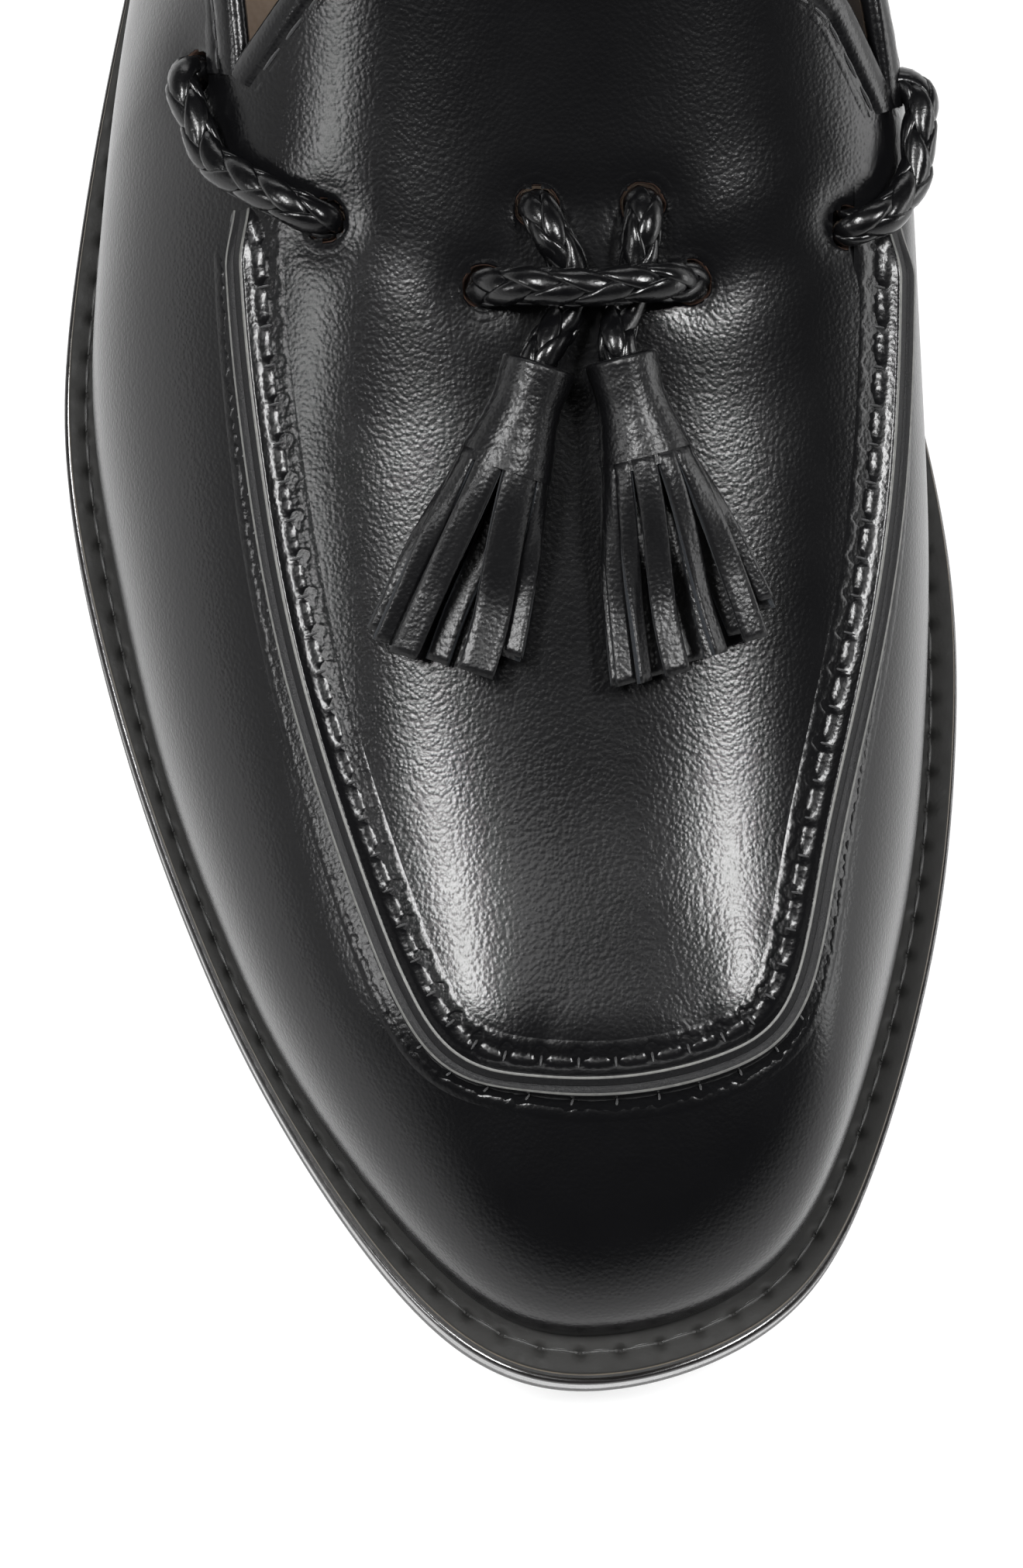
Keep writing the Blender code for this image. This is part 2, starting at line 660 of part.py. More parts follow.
def make_layer(name, low_lines, high_lines, low_at, high_at, material, collection):
    """A closed layer of the sole between two sets of rungs and two heights."""
    bm = bmesh.new()
    low = [[bm.verts.new((p.x, p.y, low_at(p.y))) for p in line] for line in low_lines]
    high = [[bm.verts.new((p.x, p.y, high_at(p.y))) for p in line] for line in high_lines]
    last = len(low) - 1
    across = len(low[0]) - 1
    for k in range(last):
        for i in range(across):
            bm.faces.new((high[k][i], high[k + 1][i], high[k + 1][i + 1], high[k][i + 1]))
            bm.faces.new((low[k][i + 1], low[k + 1][i + 1], low[k + 1][i], low[k][i]))
        bm.faces.new((low[k][0], low[k + 1][0], high[k + 1][0], high[k][0]))
        bm.faces.new((high[k][-1], high[k + 1][-1], low[k + 1][-1], low[k][-1]))
    for k in (0, last):
        for i in range(across):
            bm.faces.new((low[k][i], high[k][i], high[k][i + 1], low[k][i + 1]))
    bmesh.ops.remove_doubles(bm, verts=bm.verts, dist=0.01 * MM)
    return object_from(bm, name, material, collection)


def make_outsole(material, collection):
    half = ROWS / 2
    lines = rungs(sole_edge, half, half, ROWS * STEPS // 2, 2)
    return make_layer("outsole", lines, lines, ground_clearance,
                      lambda y: ground_clearance(y) + OUTSOLE, material, collection)


def make_insole(material, collection):
    def edge(row):
        return outline_point(row, -(WELT_UNDER_UPPER + GAP))
    half = ROWS / 2
    lines = rungs(edge, half, half, ROWS * STEPS // 2, 2)
    return make_layer("insole", lines, lines, lambda y: ground_clearance(y) + OUTSOLE + GAP,
                      lambda y: welt_top(y) + INSOLE_ABOVE_WELT, material, collection)


def make_welt(material, collection):
    """The strip of leather all round, between upper and outsole."""
    bm = bmesh.new()
    loops = []
    for k in range(ROWS * STEPS):
        row = k / STEPS
        edge = sole_edge(row) - outward(row) * WELT_SETBACK
        inside = outline_point(row, -WELT_UNDER_UPPER)
        section = [(edge, WELT), (edge, 0.0), (inside, 0.0), (inside, WELT)]
        loops.append([bm.verts.new((p.x, p.y, welt_top(p.y) - down)) for p, down in section])
    for here, beside in zip(loops, loops[1:] + loops[:1]):
        for i in range(len(here)):
            bm.faces.new((here[i - 1], beside[i - 1], beside[i], here[i]))
    return object_from(bm, "welt", material, collection)


def row_at(y, start, end):
    """The row between start and end where the sole's edge reaches y."""
    for _ in range(BISECTIONS):
        middle = (start + end) / 2
        if sole_edge(middle).y > y:
            start = middle
        else:
            end = middle
    return start


def heel_lines(extra, breast):
    """Rungs of the heel block, set in by extra, from its back to its breast."""
    def edge(row):
        return sole_edge(row) - outward(row) * (WELT_SETBACK + extra)
    lateral = row_at(breast, 2, 5)
    medial = -row_at(breast, -2, -5)
    return rungs(edge, lateral, medial, 4 * STEPS, 4, hollow=BREAST_HOLLOW)


def make_heel(materials, collection):
    """The stacked heel under the seat, with a rubber top piece on the ground."""
    breast = sole_edge(0).y - HEEL_LENGTH
    share = TOP_PIECE / HEEL_HEIGHT
    seat_lines = heel_lines(0.0, breast)
    mid_lines = heel_lines(HEEL_TAPER * (1 - share), breast + BREAST_SLANT * (1 - share))
    ground_lines = heel_lines(HEEL_TAPER, breast + BREAST_SLANT)
    make_layer("heel_stack", mid_lines, seat_lines, lambda y: TOP_PIECE + GAP,
               lambda y: ground_clearance(y) - GAP, materials["outsole_leather"], collection)
    make_layer("heel_top_piece", ground_lines, mid_lines, lambda y: 0.0,
               lambda y: TOP_PIECE, materials["heel_rubber"], collection)


def through(points):
    """Evenly spaced points on a smooth curve through the route's own points."""
    ends = [points[0] * 2 - points[1], *points, points[-1] * 2 - points[-2]]
    route = [points[0]]
    for i in range(len(points) - 1):
        count = max(1, ceil((points[i + 1] - points[i]).length / LACE_STEP))
        for k in range(1, count + 1):
            route.append(catmull(*ends[i:i + 4], k / count))
    return route


def make_lace(name, points, material, collection):
    curve = bpy.data.curves.new(name, "CURVE")
    curve.dimensions = "3D"
    curve.bevel_depth = LACE / 2
    curve.bevel_resolution = 2
    curve.use_fill_caps = True
    route = through(points)
    spline = curve.splines.new("POLY")
    spline.points.add(len(route) - 1)
    for point, place in zip(spline.points, route):
        point.co = (*place, 1.0)
    curve.materials.append(material)
    made = bpy.data.objects.new(name, curve)
    collection.objects.link(made)
    return made


def tassel_frame(tassel):
    """Where a tassel's head starts on the apron, and its own three directions."""
    base = on_instep(to_plan(*tassel.top))
    normal = instep_normal(base.x, base.y)
    turn = radians(tassel.turn)
    ahead = Vector((sin(turn), -cos(turn), 0.0))
    ahead = (ahead - normal * ahead.dot(normal)).normalized()
    return base, ahead, ahead.cross(normal), normal


def tassel_point(tassel, along, across, height, drape):
    """A point of the tassel; drape is how far the leather under it bends it."""
    base, ahead, side, normal = tassel_frame(tassel)
    middle = base + ahead * along
    under = middle + side * across
    drop_here = (instep_height(middle.x, middle.y) - middle.z) * normal.z
    drop_there = (instep_height(under.x, under.y) - under.z) * normal.z
    drop = drop_here * (1 - drape) + drop_there * drape
    return under + normal * (height + LACE_CLEARANCE + drop)


def tassel_ring(tassel, along):
    """One section of the tassel: three points for each strip, with grooves between strips."""
    fringe = TASSEL_LENGTH - HEAD_LENGTH
    radius = HEAD_DIAMETER / 2
    lengths = [*tassel.lengths, *reversed(tassel.lengths)]
    spread = max(along - HEAD_LENGTH, 0.0) / fringe
    wide = radius + (tassel.spread - radius) * spread**FRINGE_FLARE
    tall = radius + (FRINGE_THICKNESS / 2 - radius) * smooth(spread / FRINGE_THIN_AT)
    groove = STRIP_GROOVE * smooth(spread / GROOVE_FULL_AT)
    half = pi / len(lengths)
    corners = ((half, groove), (half * STRIP_FLAT, 0.0), (-half * STRIP_FLAT, 0.0))
    ring = []
    for strip, share in enumerate(lengths):
        middle = pi - half * (2 * strip + 1)
        here = along if spread == 0 else HEAD_LENGTH + (along - HEAD_LENGTH) * share
        for offset, depth in corners:
            across = wide * cos(middle + offset) * (1 - depth)
            height = tall * (1 + sin(middle + offset) * (1 - depth))
            ring.append(tassel_point(tassel, here, across, height, spread))
    return ring


def make_tassel(tassel, material, collection, cutters):
    """A rolled head with a bore for the strand, and a fringe of strips fused to it."""
    fringe = TASSEL_LENGTH - HEAD_LENGTH
    stations = [HEAD_LENGTH * share for share in HEAD_STATIONS]
    stations += [HEAD_LENGTH + fringe * share for share in FRINGE_STATIONS]
    bm = bmesh.new()
    rings = [[bm.verts.new(point) for point in tassel_ring(tassel, along)] for along in stations]
    for ring, ahead in zip(rings, rings[1:]):
        for k in range(len(ring)):
            bm.faces.new((ring[k - 1], ring[k], ahead[k], ahead[k - 1]))
    ends = [bm.faces.new(rings[0][::-1]), bm.faces.new(rings[-1])]
    bmesh.ops.triangulate(bm, faces=ends)
    made = object_from(bm, f"tassel_{tassel.side}", material, collection)

    mouth, inside = (tassel_point(tassel, along, 0.0, HEAD_DIAMETER / 2, 0.0)
                     for along in (0.0, HEAD_BORE_DEPTH))
    bore(made, f"bore_{tassel.side}", mouth, inside - mouth, HEAD_BORE, 2 * HEAD_BORE_DEPTH,
         cutters)
    return made


def make_strand(tassel, material, collection):
    """The lace's end, from its hole under the centre bar into the tassel's head."""
    points = [spot_on_leather(spot)[0] for spot in tassel.strand]
    inside = HEAD_BORE_DEPTH - STRAND_SHORT_OF_BORE
    for along in (-STRAND_BEFORE_HEAD, STRAND_BEFORE_HEAD, inside):
        points.append(tassel_point(tassel, along, 0.0, HEAD_DIAMETER / 2, 0.0))
    return make_lace(f"strand_{tassel.side}", points, material, collection)


def main():
    clear_scene()
    shoe = new_collection("tassel_loafer")
    cutters = new_collection("cutters")
    materials = {name: new_material(name) for name in MATERIALS}

    upper = make_upper(materials["calf"], shoe)
    make_welt(materials["welt_leather"], shoe)
    make_outsole(materials["outsole_leather"], shoe)
    make_insole(materials["insole_leather"], shoe)
    make_heel(materials, shoe)

    bars = {"lateral": LATERAL_BAR, "medial": MEDIAL_BAR, "centre": CENTRE_BAR}
    holes = []
    for side, route in bars.items():
        points = [spot_on_leather(spot)[0] for spot in route]
        make_lace(f"lace_bar_{side}", points, materials["lace_leather"], shoe)
        holes += [route[0], route[-1]]
    for tassel in TASSELS:
        make_tassel(tassel, materials["calf"], shoe, cutters)
        make_strand(tassel, materials["lace_leather"], shoe)
        holes.append(tassel.strand[0])
    for number, spot in enumerate(holes, start=1):
        place, normal = spot_on_leather(spot._replace(lift=0.0))
        bore(upper, f"lace_hole_{number}", place, normal, LACE_HOLE, HOLE_DEPTH, cutters)


main()
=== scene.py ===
"""The looks of a black tassel loafer: leather, plaits, seams, soles, studio and camera.

Lengths are metres in the part's own frame: +Z is up, the toe points to -Y and +X is the
inner side of the right foot. The tables and curves of the last repeat the part's source.
"""
from collections import namedtuple
from functools import lru_cache
from math import atan2, ceil, cos, pi, radians, sin, tau

import bmesh
import bpy
import numpy as np
from mathutils import Matrix, Vector, noise
from mathutils.bvhtree import BVHTree

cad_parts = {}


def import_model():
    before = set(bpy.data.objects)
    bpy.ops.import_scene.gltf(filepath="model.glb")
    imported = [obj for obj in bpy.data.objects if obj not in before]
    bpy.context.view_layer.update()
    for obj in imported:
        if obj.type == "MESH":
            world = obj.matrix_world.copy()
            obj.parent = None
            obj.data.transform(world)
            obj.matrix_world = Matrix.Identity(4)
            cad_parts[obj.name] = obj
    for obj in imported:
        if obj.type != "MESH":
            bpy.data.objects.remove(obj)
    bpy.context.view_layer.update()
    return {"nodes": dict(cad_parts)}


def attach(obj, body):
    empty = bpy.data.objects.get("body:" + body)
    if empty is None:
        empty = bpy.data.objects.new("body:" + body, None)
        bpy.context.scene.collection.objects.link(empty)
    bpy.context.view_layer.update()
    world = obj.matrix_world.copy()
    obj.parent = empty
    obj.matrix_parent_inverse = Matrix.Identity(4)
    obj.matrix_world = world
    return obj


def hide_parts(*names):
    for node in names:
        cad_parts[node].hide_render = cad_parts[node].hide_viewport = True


MM = 0.001
UP = np.array((0.0, 0.0, 1.0))

# The last and the upper, as in the part's source
LAST_LENGTH = 294.6 * MM
BALL_WIDTH = 101.5 * MM
HEEL_BACK = 35.0 * MM
INSTEP_HEIGHT = 72.0 * MM
COLLAR_HEIGHT = 60.0 * MM
WALL = 2.0 * MM

# The bottom of the shoe, as in the part's source
GAP = 0.3 * MM
OUTSOLE = 5.0 * MM
WELT = 2.6 * MM
WELT_MARGIN = 5.0 * MM
WELT_SETBACK = 0.6 * MM
WELT_UNDER_UPPER = 2.3 * MM
HEEL_HEIGHT = 26.0 * MM
HEEL_LENGTH = 77.0 * MM
HEEL_TAPER = 2.0 * MM
BREAST_SLANT = 3.0 * MM
BREAST_HOLLOW = 4.0 * MM
TOP_PIECE = 6.0 * MM
TOE_SPRING = 11.0 * MM
SEAT_FRONT = 0.160
BALL_BACK = 0.660
BALL_FRONT = 0.728

# The plaited lace and its tassels, as in the part's source
LACE = 4.0 * MM
LACE_CLEARANCE = 0.5 * MM
TASSEL_LENGTH = 36.5 * MM
HEAD_LENGTH = 12.5 * MM
HEAD_WALL = 1.7 * MM
HEAD_BORE = 5.2 * MM
HEAD_DIAMETER = HEAD_BORE + 2 * HEAD_WALL
HEAD_BORE_DEPTH = 10.5 * MM
STRAND_BEFORE_HEAD = 2.0 * MM
STRAND_SHORT_OF_BORE = 1.0 * MM
FRINGE_THICKNESS = 5.2 * MM
FRINGE_THIN_AT = 0.7

FOOT_HANDLE = 0.40
ROW_STEP = 0.02
SLOPE_STEP = 0.5 * MM
EDGE_SAMPLES = 240
BISECTIONS = 40
CROWN_POWER = 2.8

# One row for each section round the shoe: heel back, lateral side, toe, medial side.
# along and across are shares of LAST_LENGTH from the heel's back and of BALL_WIDTH.
# edge is the welt's margin in shares of WELT_MARGIN, rise the topline's height above
# the feather line in shares of COLLAR_HEIGHT. lean and fall are degrees: how far the
# wall leans out at the feather line, and how steeply it leaves its top edge.
# shoulder is how far that top slope carries down, in shares of the wall's height.
# Rise and fall are None where the wall ends in the instep's own surface.
Section = namedtuple("Section", "along across edge lean top_along top_across rise fall shoulder")
WALL_TABLE = [
    Section(0.000, 0.000, 0.55, 10, 0.007, 0.000, 1.00, 83, 0.35),
    Section(0.019, -0.172, 0.55, 10, 0.024, -0.138, 0.97, 83, 0.35),
    Section(0.078, -0.286, 0.55, 9, 0.078, -0.236, 0.84, 82, 0.35),
    Section(0.173, -0.315, 0.55, 8, 0.166, -0.276, 0.76, 82, 0.35),
    Section(0.288, -0.340, 0.55, 9, 0.274, -0.310, 0.72, 78, 0.35),
    Section(0.389, -0.398, 0.62, 10, 0.389, -0.330, 0.79, 72, 0.35),
    Section(0.460, -0.442, 0.76, 10, 0.460, -0.330, 0.84, 62, 0.35),
    Section(0.528, -0.471, 0.96, 9, 0.515, -0.317, None, None, 0.36),
    Section(0.596, -0.493, 0.90, 8, 0.593, -0.314, None, None, 0.38),
    Section(0.670, -0.470, 0.88, 8, 0.667, -0.299, None, None, 0.38),
    Section(0.748, -0.425, 0.72, 8, 0.742, -0.266, None, None, 0.40),
    Section(0.818, -0.362, 0.68, 8, 0.828, -0.201, None, None, 0.42),
    Section(0.895, -0.266, 0.70, 9, 0.894, -0.122, None, None, 0.42),
    Section(0.977, -0.100, 0.94, 10, 0.913, -0.020, None, None, 0.42),
    Section(1.000, 0.064, 1.08, 10, 0.915, 0.095, None, None, 0.42),
    Section(0.982, 0.234, 1.00, 10, 0.907, 0.208, None, None, 0.42),
    Section(0.930, 0.344, 1.06, 9, 0.882, 0.287, None, None, 0.36),
    Section(0.838, 0.437, 1.05, 8, 0.820, 0.335, None, None, 0.28),
    Section(0.755, 0.478, 1.14, 8, 0.748, 0.389, None, None, 0.22),
    Section(0.674, 0.487, 1.20, 8, 0.676, 0.428, None, None, 0.19),
    Section(0.596, 0.470, 0.95, 5, 0.603, 0.444, None, None, 0.17),
    Section(0.522, 0.434, 0.62, 9, 0.534, 0.445, None, None, 0.165),
    Section(0.457, 0.379, 0.50, 19, 0.471, 0.419, 0.87, 68, 0.18),
    Section(0.383, 0.315, 0.50, 24, 0.389, 0.365, 0.79, 74, 0.30),
    Section(0.288, 0.271, 0.50, 20, 0.274, 0.310, 0.72, 78, 0.35),
    Section(0.173, 0.291, 0.55, 10, 0.166, 0.276, 0.76, 82, 0.35),
    Section(0.078, 0.281, 0.55, 9, 0.078, 0.236, 0.84, 82, 0.35),
    Section(0.019, 0.172, 0.55, 10, 0.024, 0.138, 0.97, 83, 0.35),
]
ROWS = len(WALL_TABLE)
NOTCH_LATERAL, TOE_LATERAL, TOE_MEDIAL, NOTCH_MEDIAL = 7, 12, 16, 21
SEAM_STARTS = (7.62, 7.95)
SEAM_ENDS = (20.05, 20.38)

# The instep's surface, from the tongue to the toe. height is the ridge above the feather
# line in shares of INSTEP_HEIGHT; centre is the ridge's place and half the distance from
# it at which the sides have dropped by the last two columns, in shares of BALL_WIDTH and
# of INSTEP_HEIGHT.
Instep = namedtuple("Instep", "along height centre half drop_lateral drop_medial")
INSTEP_TABLE = [
    Instep(0.458, 0.986, 0.070, 0.390, 0.250, 0.260),
    Instep(0.492, 0.944, 0.070, 0.385, 0.230, 0.245),
    Instep(0.577, 0.844, 0.070, 0.385, 0.180, 0.200),
    Instep(0.661, 0.740, 0.066, 0.370, 0.140, 0.160),
    Instep(0.746, 0.636, 0.066, 0.335, 0.110, 0.125),
    Instep(0.831, 0.540, 0.070, 0.280, 0.077, 0.083),
    Instep(0.899, 0.450, 0.085, 0.210, 0.045, 0.045),
    Instep(0.932, 0.372, 0.095, 0.190, 0.042, 0.042),
]

# The tongue's free edge, from the lateral notch round to the medial notch
Edge = namedtuple("Edge", "along across")
TONGUE_LATERAL = Edge(0.476, -0.187)
TONGUE_TOP = [Edge(0.471, -0.080), Edge(0.472, 0.080), Edge(0.482, 0.220)]
TONGUE_MEDIAL = Edge(0.500, 0.380)

# The lace's way over the leather, as in the part's source
WallSpot = namedtuple("WallSpot", "row level lift")
ApronSpot = namedtuple("ApronSpot", "along across lift")
IN_HOLE = -WALL
AT_RIM = 0.6 * MM
ON_LEATHER = LACE / 2 + LACE_CLEARANCE
OVER_STRANDS = ON_LEATHER + LACE + 0.4 * MM
CLIMBING = 3.9 * MM
NEARLY_OVER = 6.1 * MM
LACE_BARS = {
    "lateral": [
        WallSpot(6.98, 0.865, IN_HOLE), WallSpot(6.98, 0.865, AT_RIM),
        WallSpot(7.08, 0.885, ON_LEATHER), WallSpot(7.27, 0.925, ON_LEATHER),
        WallSpot(7.44, 0.965, ON_LEATHER), ApronSpot(0.559, -0.290, ON_LEATHER),
        ApronSpot(0.571, -0.247, ON_LEATHER), ApronSpot(0.579, -0.221, AT_RIM),
        ApronSpot(0.579, -0.221, IN_HOLE),
    ],
    "medial": [
        WallSpot(21.12, 0.885, IN_HOLE), WallSpot(21.12, 0.885, AT_RIM),
        WallSpot(21.02, 0.910, ON_LEATHER), WallSpot(20.84, 0.950, ON_LEATHER),
        WallSpot(20.62, 0.985, ON_LEATHER), ApronSpot(0.572, 0.428, ON_LEATHER),
        ApronSpot(0.579, 0.409, ON_LEATHER), ApronSpot(0.584, 0.388, AT_RIM),
        ApronSpot(0.584, 0.388, IN_HOLE),
    ],
    "centre": [
        ApronSpot(0.611, -0.040, IN_HOLE), ApronSpot(0.611, -0.040, AT_RIM),
        ApronSpot(0.611, -0.020, CLIMBING), ApronSpot(0.611, 0.014, NEARLY_OVER),
        ApronSpot(0.612, 0.049, OVER_STRANDS), ApronSpot(0.612, 0.091, OVER_STRANDS),
        ApronSpot(0.611, 0.130, OVER_STRANDS), ApronSpot(0.611, 0.163, NEARLY_OVER),
        ApronSpot(0.611, 0.181, CLIMBING), ApronSpot(0.611, 0.197, AT_RIM),
        ApronSpot(0.611, 0.197, IN_HOLE),
    ],
}

# The tassels: where the head starts, its turn and the place of its lapped edge in degrees,
# the fringe's half width, and the way of the strand that carries it
Tassel = namedtuple("Tassel", "side top turn lap spread strand")
TASSELS = [
    Tassel("lateral", Edge(0.6415, 0.017), -19.5, 205, 8.0 * MM,
           (ApronSpot(0.583, 0.023, IN_HOLE), ApronSpot(0.583, 0.023, AT_RIM),
            ApronSpot(0.592, 0.036, ON_LEATHER), ApronSpot(0.602, 0.052, ON_LEATHER),
            ApronSpot(0.611, 0.058, ON_LEATHER), ApronSpot(0.623, 0.050, ON_LEATHER))),
    Tassel("medial", Edge(0.640, 0.110), 12.5, 335, 9.7 * MM,
           (ApronSpot(0.583, 0.144, IN_HOLE), ApronSpot(0.583, 0.144, AT_RIM),
            ApronSpot(0.591, 0.140, ON_LEATHER), ApronSpot(0.602, 0.135, ON_LEATHER),
            ApronSpot(0.611, 0.129, ON_LEATHER), ApronSpot(0.623, 0.115, ON_LEATHER))),
]

# Mesh density of the leather: columns for each row of the table, and levels up the wall
STEPS = 20
LEVELS = 34
LEG_STEPS = 14
CORNER_ROUNDING = 8
GRID_ACROSS = (TOE_MEDIAL - TOE_LATERAL) * STEPS
GRID_ALONG = (TOE_LATERAL - NOTCH_LATERAL) * STEPS + LEG_STEPS
ROW_SAMPLES = 24
SEAM_SPACING = 0.36 * MM
BINDING_SPACING = 0.9 * MM
WELD = 0.02 * MM

# How the leather departs from the last: a slow unevenness, and creases listed on
# the vamp. A trough's depth is positive, a ridge's negative.
UNEVEN = 0.05 * MM
UNEVEN_SIZE = 26.0 * MM
CREASE_FADE = 0.12
Crease = namedtuple("Crease", "start end width depth")
CREASES = [
    Crease(Edge(0.580, -0.221), Edge(0.611, -0.045), 4.2 * MM, 0.16 * MM),
    Crease(Edge(0.594, -0.200), Edge(0.626, -0.070), 4.6 * MM, -0.06 * MM),
    Crease(Edge(0.585, 0.388), Edge(0.611, 0.205), 4.2 * MM, 0.32 * MM),
    Crease(Edge(0.572, 0.370), Edge(0.594, 0.190), 5.2 * MM, -0.34 * MM),
    Crease(Edge(0.583, 0.030), Edge(0.583, 0.138), 3.4 * MM, 0.25 * MM),
    Crease(Edge(0.655, -0.250), Edge(0.668, -0.090), 6.5 * MM, 0.16 * MM),
    Crease(Edge(0.652, 0.350), Edge(0.668, 0.210), 6.5 * MM, 0.16 * MM),
    Crease(Edge(0.700, -0.200), Edge(0.706, 0.020), 8.0 * MM, 0.12 * MM),
    Crease(Edge(0.698, 0.300), Edge(0.708, 0.120), 8.0 * MM, 0.12 * MM),
    Crease(Edge(0.880, -0.150), Edge(0.902, 0.000), 6.0 * MM, -0.62 * MM),
    Crease(Edge(0.902, 0.000), Edge(0.898, 0.190), 6.0 * MM, -0.62 * MM),
    Crease(Edge(0.898, 0.190), Edge(0.860, 0.290), 6.0 * MM, -0.50 * MM),
]

# Lace holes: the leather sinks towards them and is crumpled round the rim. Below
# RIM_STRAIGHT the rim goes down along the hole's own axis.
HOLE_CUT = 2.85 * MM
HOLE_DIMPLE = 0.7 * MM
HOLE_DIMPLE_WIDTH = 4.0 * MM
HOLE_REACH = 5.0 * MM
HOLE_CRUMPLE = 0.03 * MM
HOLE_RAGGED = 0.07
HOLE_ASIDE = np.array((0.3, 1.0, 0.1))
CRUMPLES_ROUND = 2.2
CRUMPLES_DOWN = 400
HOLE_APART = 5.0
RIM_SIDES = 40
RIM_STRAIGHT = 0.3 * MM
RimPoint = namedtuple("RimPoint", "radius height slot")
HOLE_RIM = [
    RimPoint(4.1, -0.02, 0), RimPoint(3.8, 0.015, 0), RimPoint(3.3, 0.02, 0),
    RimPoint(2.8, 0.015, 0), RimPoint(2.55, -0.06, 1), RimPoint(2.38, -0.35, 1),
    RimPoint(2.32, -1.1, 1), RimPoint(2.30, -2.3, 1),
]

# The apron's raised seam, across the seam from the wall's side (negative) to the apron's,
# in millimetres. notch is how far a stitch draws that point down, once each pitch, and
# gather how far the fine puckers between the stitches do.
SeamPoint = namedtuple("SeamPoint", "across height notch gather slot")
SEAM_PITCH = 4.5 * MM
NOTCH_LENGTH = 0.62 * MM
GATHER_PITCH = 1.5 * MM
GATHER_DRIFT = 3.1 * MM
GATHER_SHIFT = 2.0
GATHER_PLACE = 3.1
SEAM_SUNK = 0.15
SEAM_OVERRUN = 0.12
SEAM_SECTION = [
    SeamPoint(-5.2, -0.16, 0.00, 0.00, 0), SeamPoint(-4.4, 0.03, 0.00, 0.00, 0),
    SeamPoint(-3.6, 0.06, 0.02, 0.03, 0), SeamPoint(-3.1, 0.00, 0.08, 0.07, 0),
    SeamPoint(-2.7, -0.12, 0.16, 0.08, 0), SeamPoint(-2.35, -0.16, 0.20, 0.05, 0),
    SeamPoint(-2.0, 0.00, 0.14, 0.03, 0), SeamPoint(-1.7, 0.42, 0.06, 0.02, 0),
    SeamPoint(-1.42, 1.10, 0.02, 0.01, 0), SeamPoint(-1.22, 1.66, 0.00, 0.00, 0),
    SeamPoint(-1.08, 1.90, 0.00, 0.00, 2), SeamPoint(-0.80, 1.93, 0.00, 0.00, 1),
    SeamPoint(-0.50, 1.80, 0.00, 0.00, 1), SeamPoint(-0.12, 1.78, 0.00, 0.00, 1),
    SeamPoint(-0.03, 1.66, 0.00, 0.00, 1), SeamPoint(0.03, 1.66, 0.00, 0.00, 1),
    SeamPoint(0.12, 1.78, 0.00, 0.00, 1), SeamPoint(0.50, 1.80, 0.00, 0.00, 1),
    SeamPoint(0.80, 1.93, 0.00, 0.00, 2), SeamPoint(1.08, 1.90, 0.00, 0.00, 0),
    SeamPoint(1.22, 1.62, 0.00, 0.00, 0), SeamPoint(1.42, 1.14, 0.02, 0.00, 0),
    SeamPoint(1.72, 0.70, 0.06, 0.01, 0), SeamPoint(2.05, 0.40, 0.16, 0.02, 0),
    SeamPoint(2.40, 0.18, 0.34, 0.04, 0), SeamPoint(2.75, 0.04, 0.44, 0.06, 0),
    SeamPoint(3.10, 0.00, 0.38, 0.07, 0), SeamPoint(3.50, 0.04, 0.18, 0.06, 0),
    SeamPoint(4.0, 0.06, 0.04, 0.03, 0), SeamPoint(4.6, 0.03, 0.00, 0.00, 0),
    SeamPoint(5.3, -0.16, 0.00, 0.00, 0),
]

# Where the seam's stitches run at its two feet, across the seam and above the leather
SeamFoot = namedtuple("SeamFoot", "top high bottom low")
SEAM_FEET = [SeamFoot(-1.75, 0.38, -2.75, -0.22), SeamFoot(1.85, 0.48, 3.15, -0.28)]

# The rolled binding of collar and tongue, down from the edge
BindingPoint = namedtuple("BindingPoint", "down height pucker")
BINDING_PITCH = 3.6 * MM
BINDING_HALF = WALL / 2 + 0.45 * MM
BINDING_TURNS = 7
BINDING_INWARD = 0.3 * MM
BINDING_STITCHED = 2.85 * MM
LINING_STITCHED = WALL + 0.12 * MM
BINDING_SECTION = [
    BindingPoint(5.0, -0.15, 0.00), BindingPoint(4.2, 0.02, 0.02), BindingPoint(3.5, 0.04, 0.06),
    BindingPoint(3.0, -0.12, 0.14), BindingPoint(2.7, -0.08, 0.16), BindingPoint(2.4, 0.26, 0.10),
    BindingPoint(2.0, 0.46, 0.04), BindingPoint(1.3, 0.52, 0.00), BindingPoint(0.6, 0.48, 0.00),
]

# The strap over the heel's back seam: its width at foot and top, and its section in
# shares of half that width. HEEL_ROW is the arc that one row of the table spans there.
StrapPoint = namedtuple("StrapPoint", "across height")
STRAP_FOOT = 20.0 * MM
STRAP_TOP = 13.0 * MM
HEEL_ROW = 18.0 * MM
STRAP_STATIONS = 60
STRAP_SEAM = 0.84
STRAP_STITCHED = (0.02, 0.90)
STRAP_STITCHES = 17
STRAP_STITCH_HEIGHT = 0.60
STRAP_SECTION = [
    StrapPoint(-1.04, -0.15), StrapPoint(-1.00, 0.45), StrapPoint(-0.94, 0.60),
    StrapPoint(-0.84, 0.52), StrapPoint(-0.74, 0.62), StrapPoint(-0.40, 0.64),
    StrapPoint(0.00, 0.64), StrapPoint(0.40, 0.64), StrapPoint(0.74, 0.62),
    StrapPoint(0.84, 0.52), StrapPoint(0.94, 0.60), StrapPoint(1.00, 0.45),
    StrapPoint(1.04, -0.15),
]

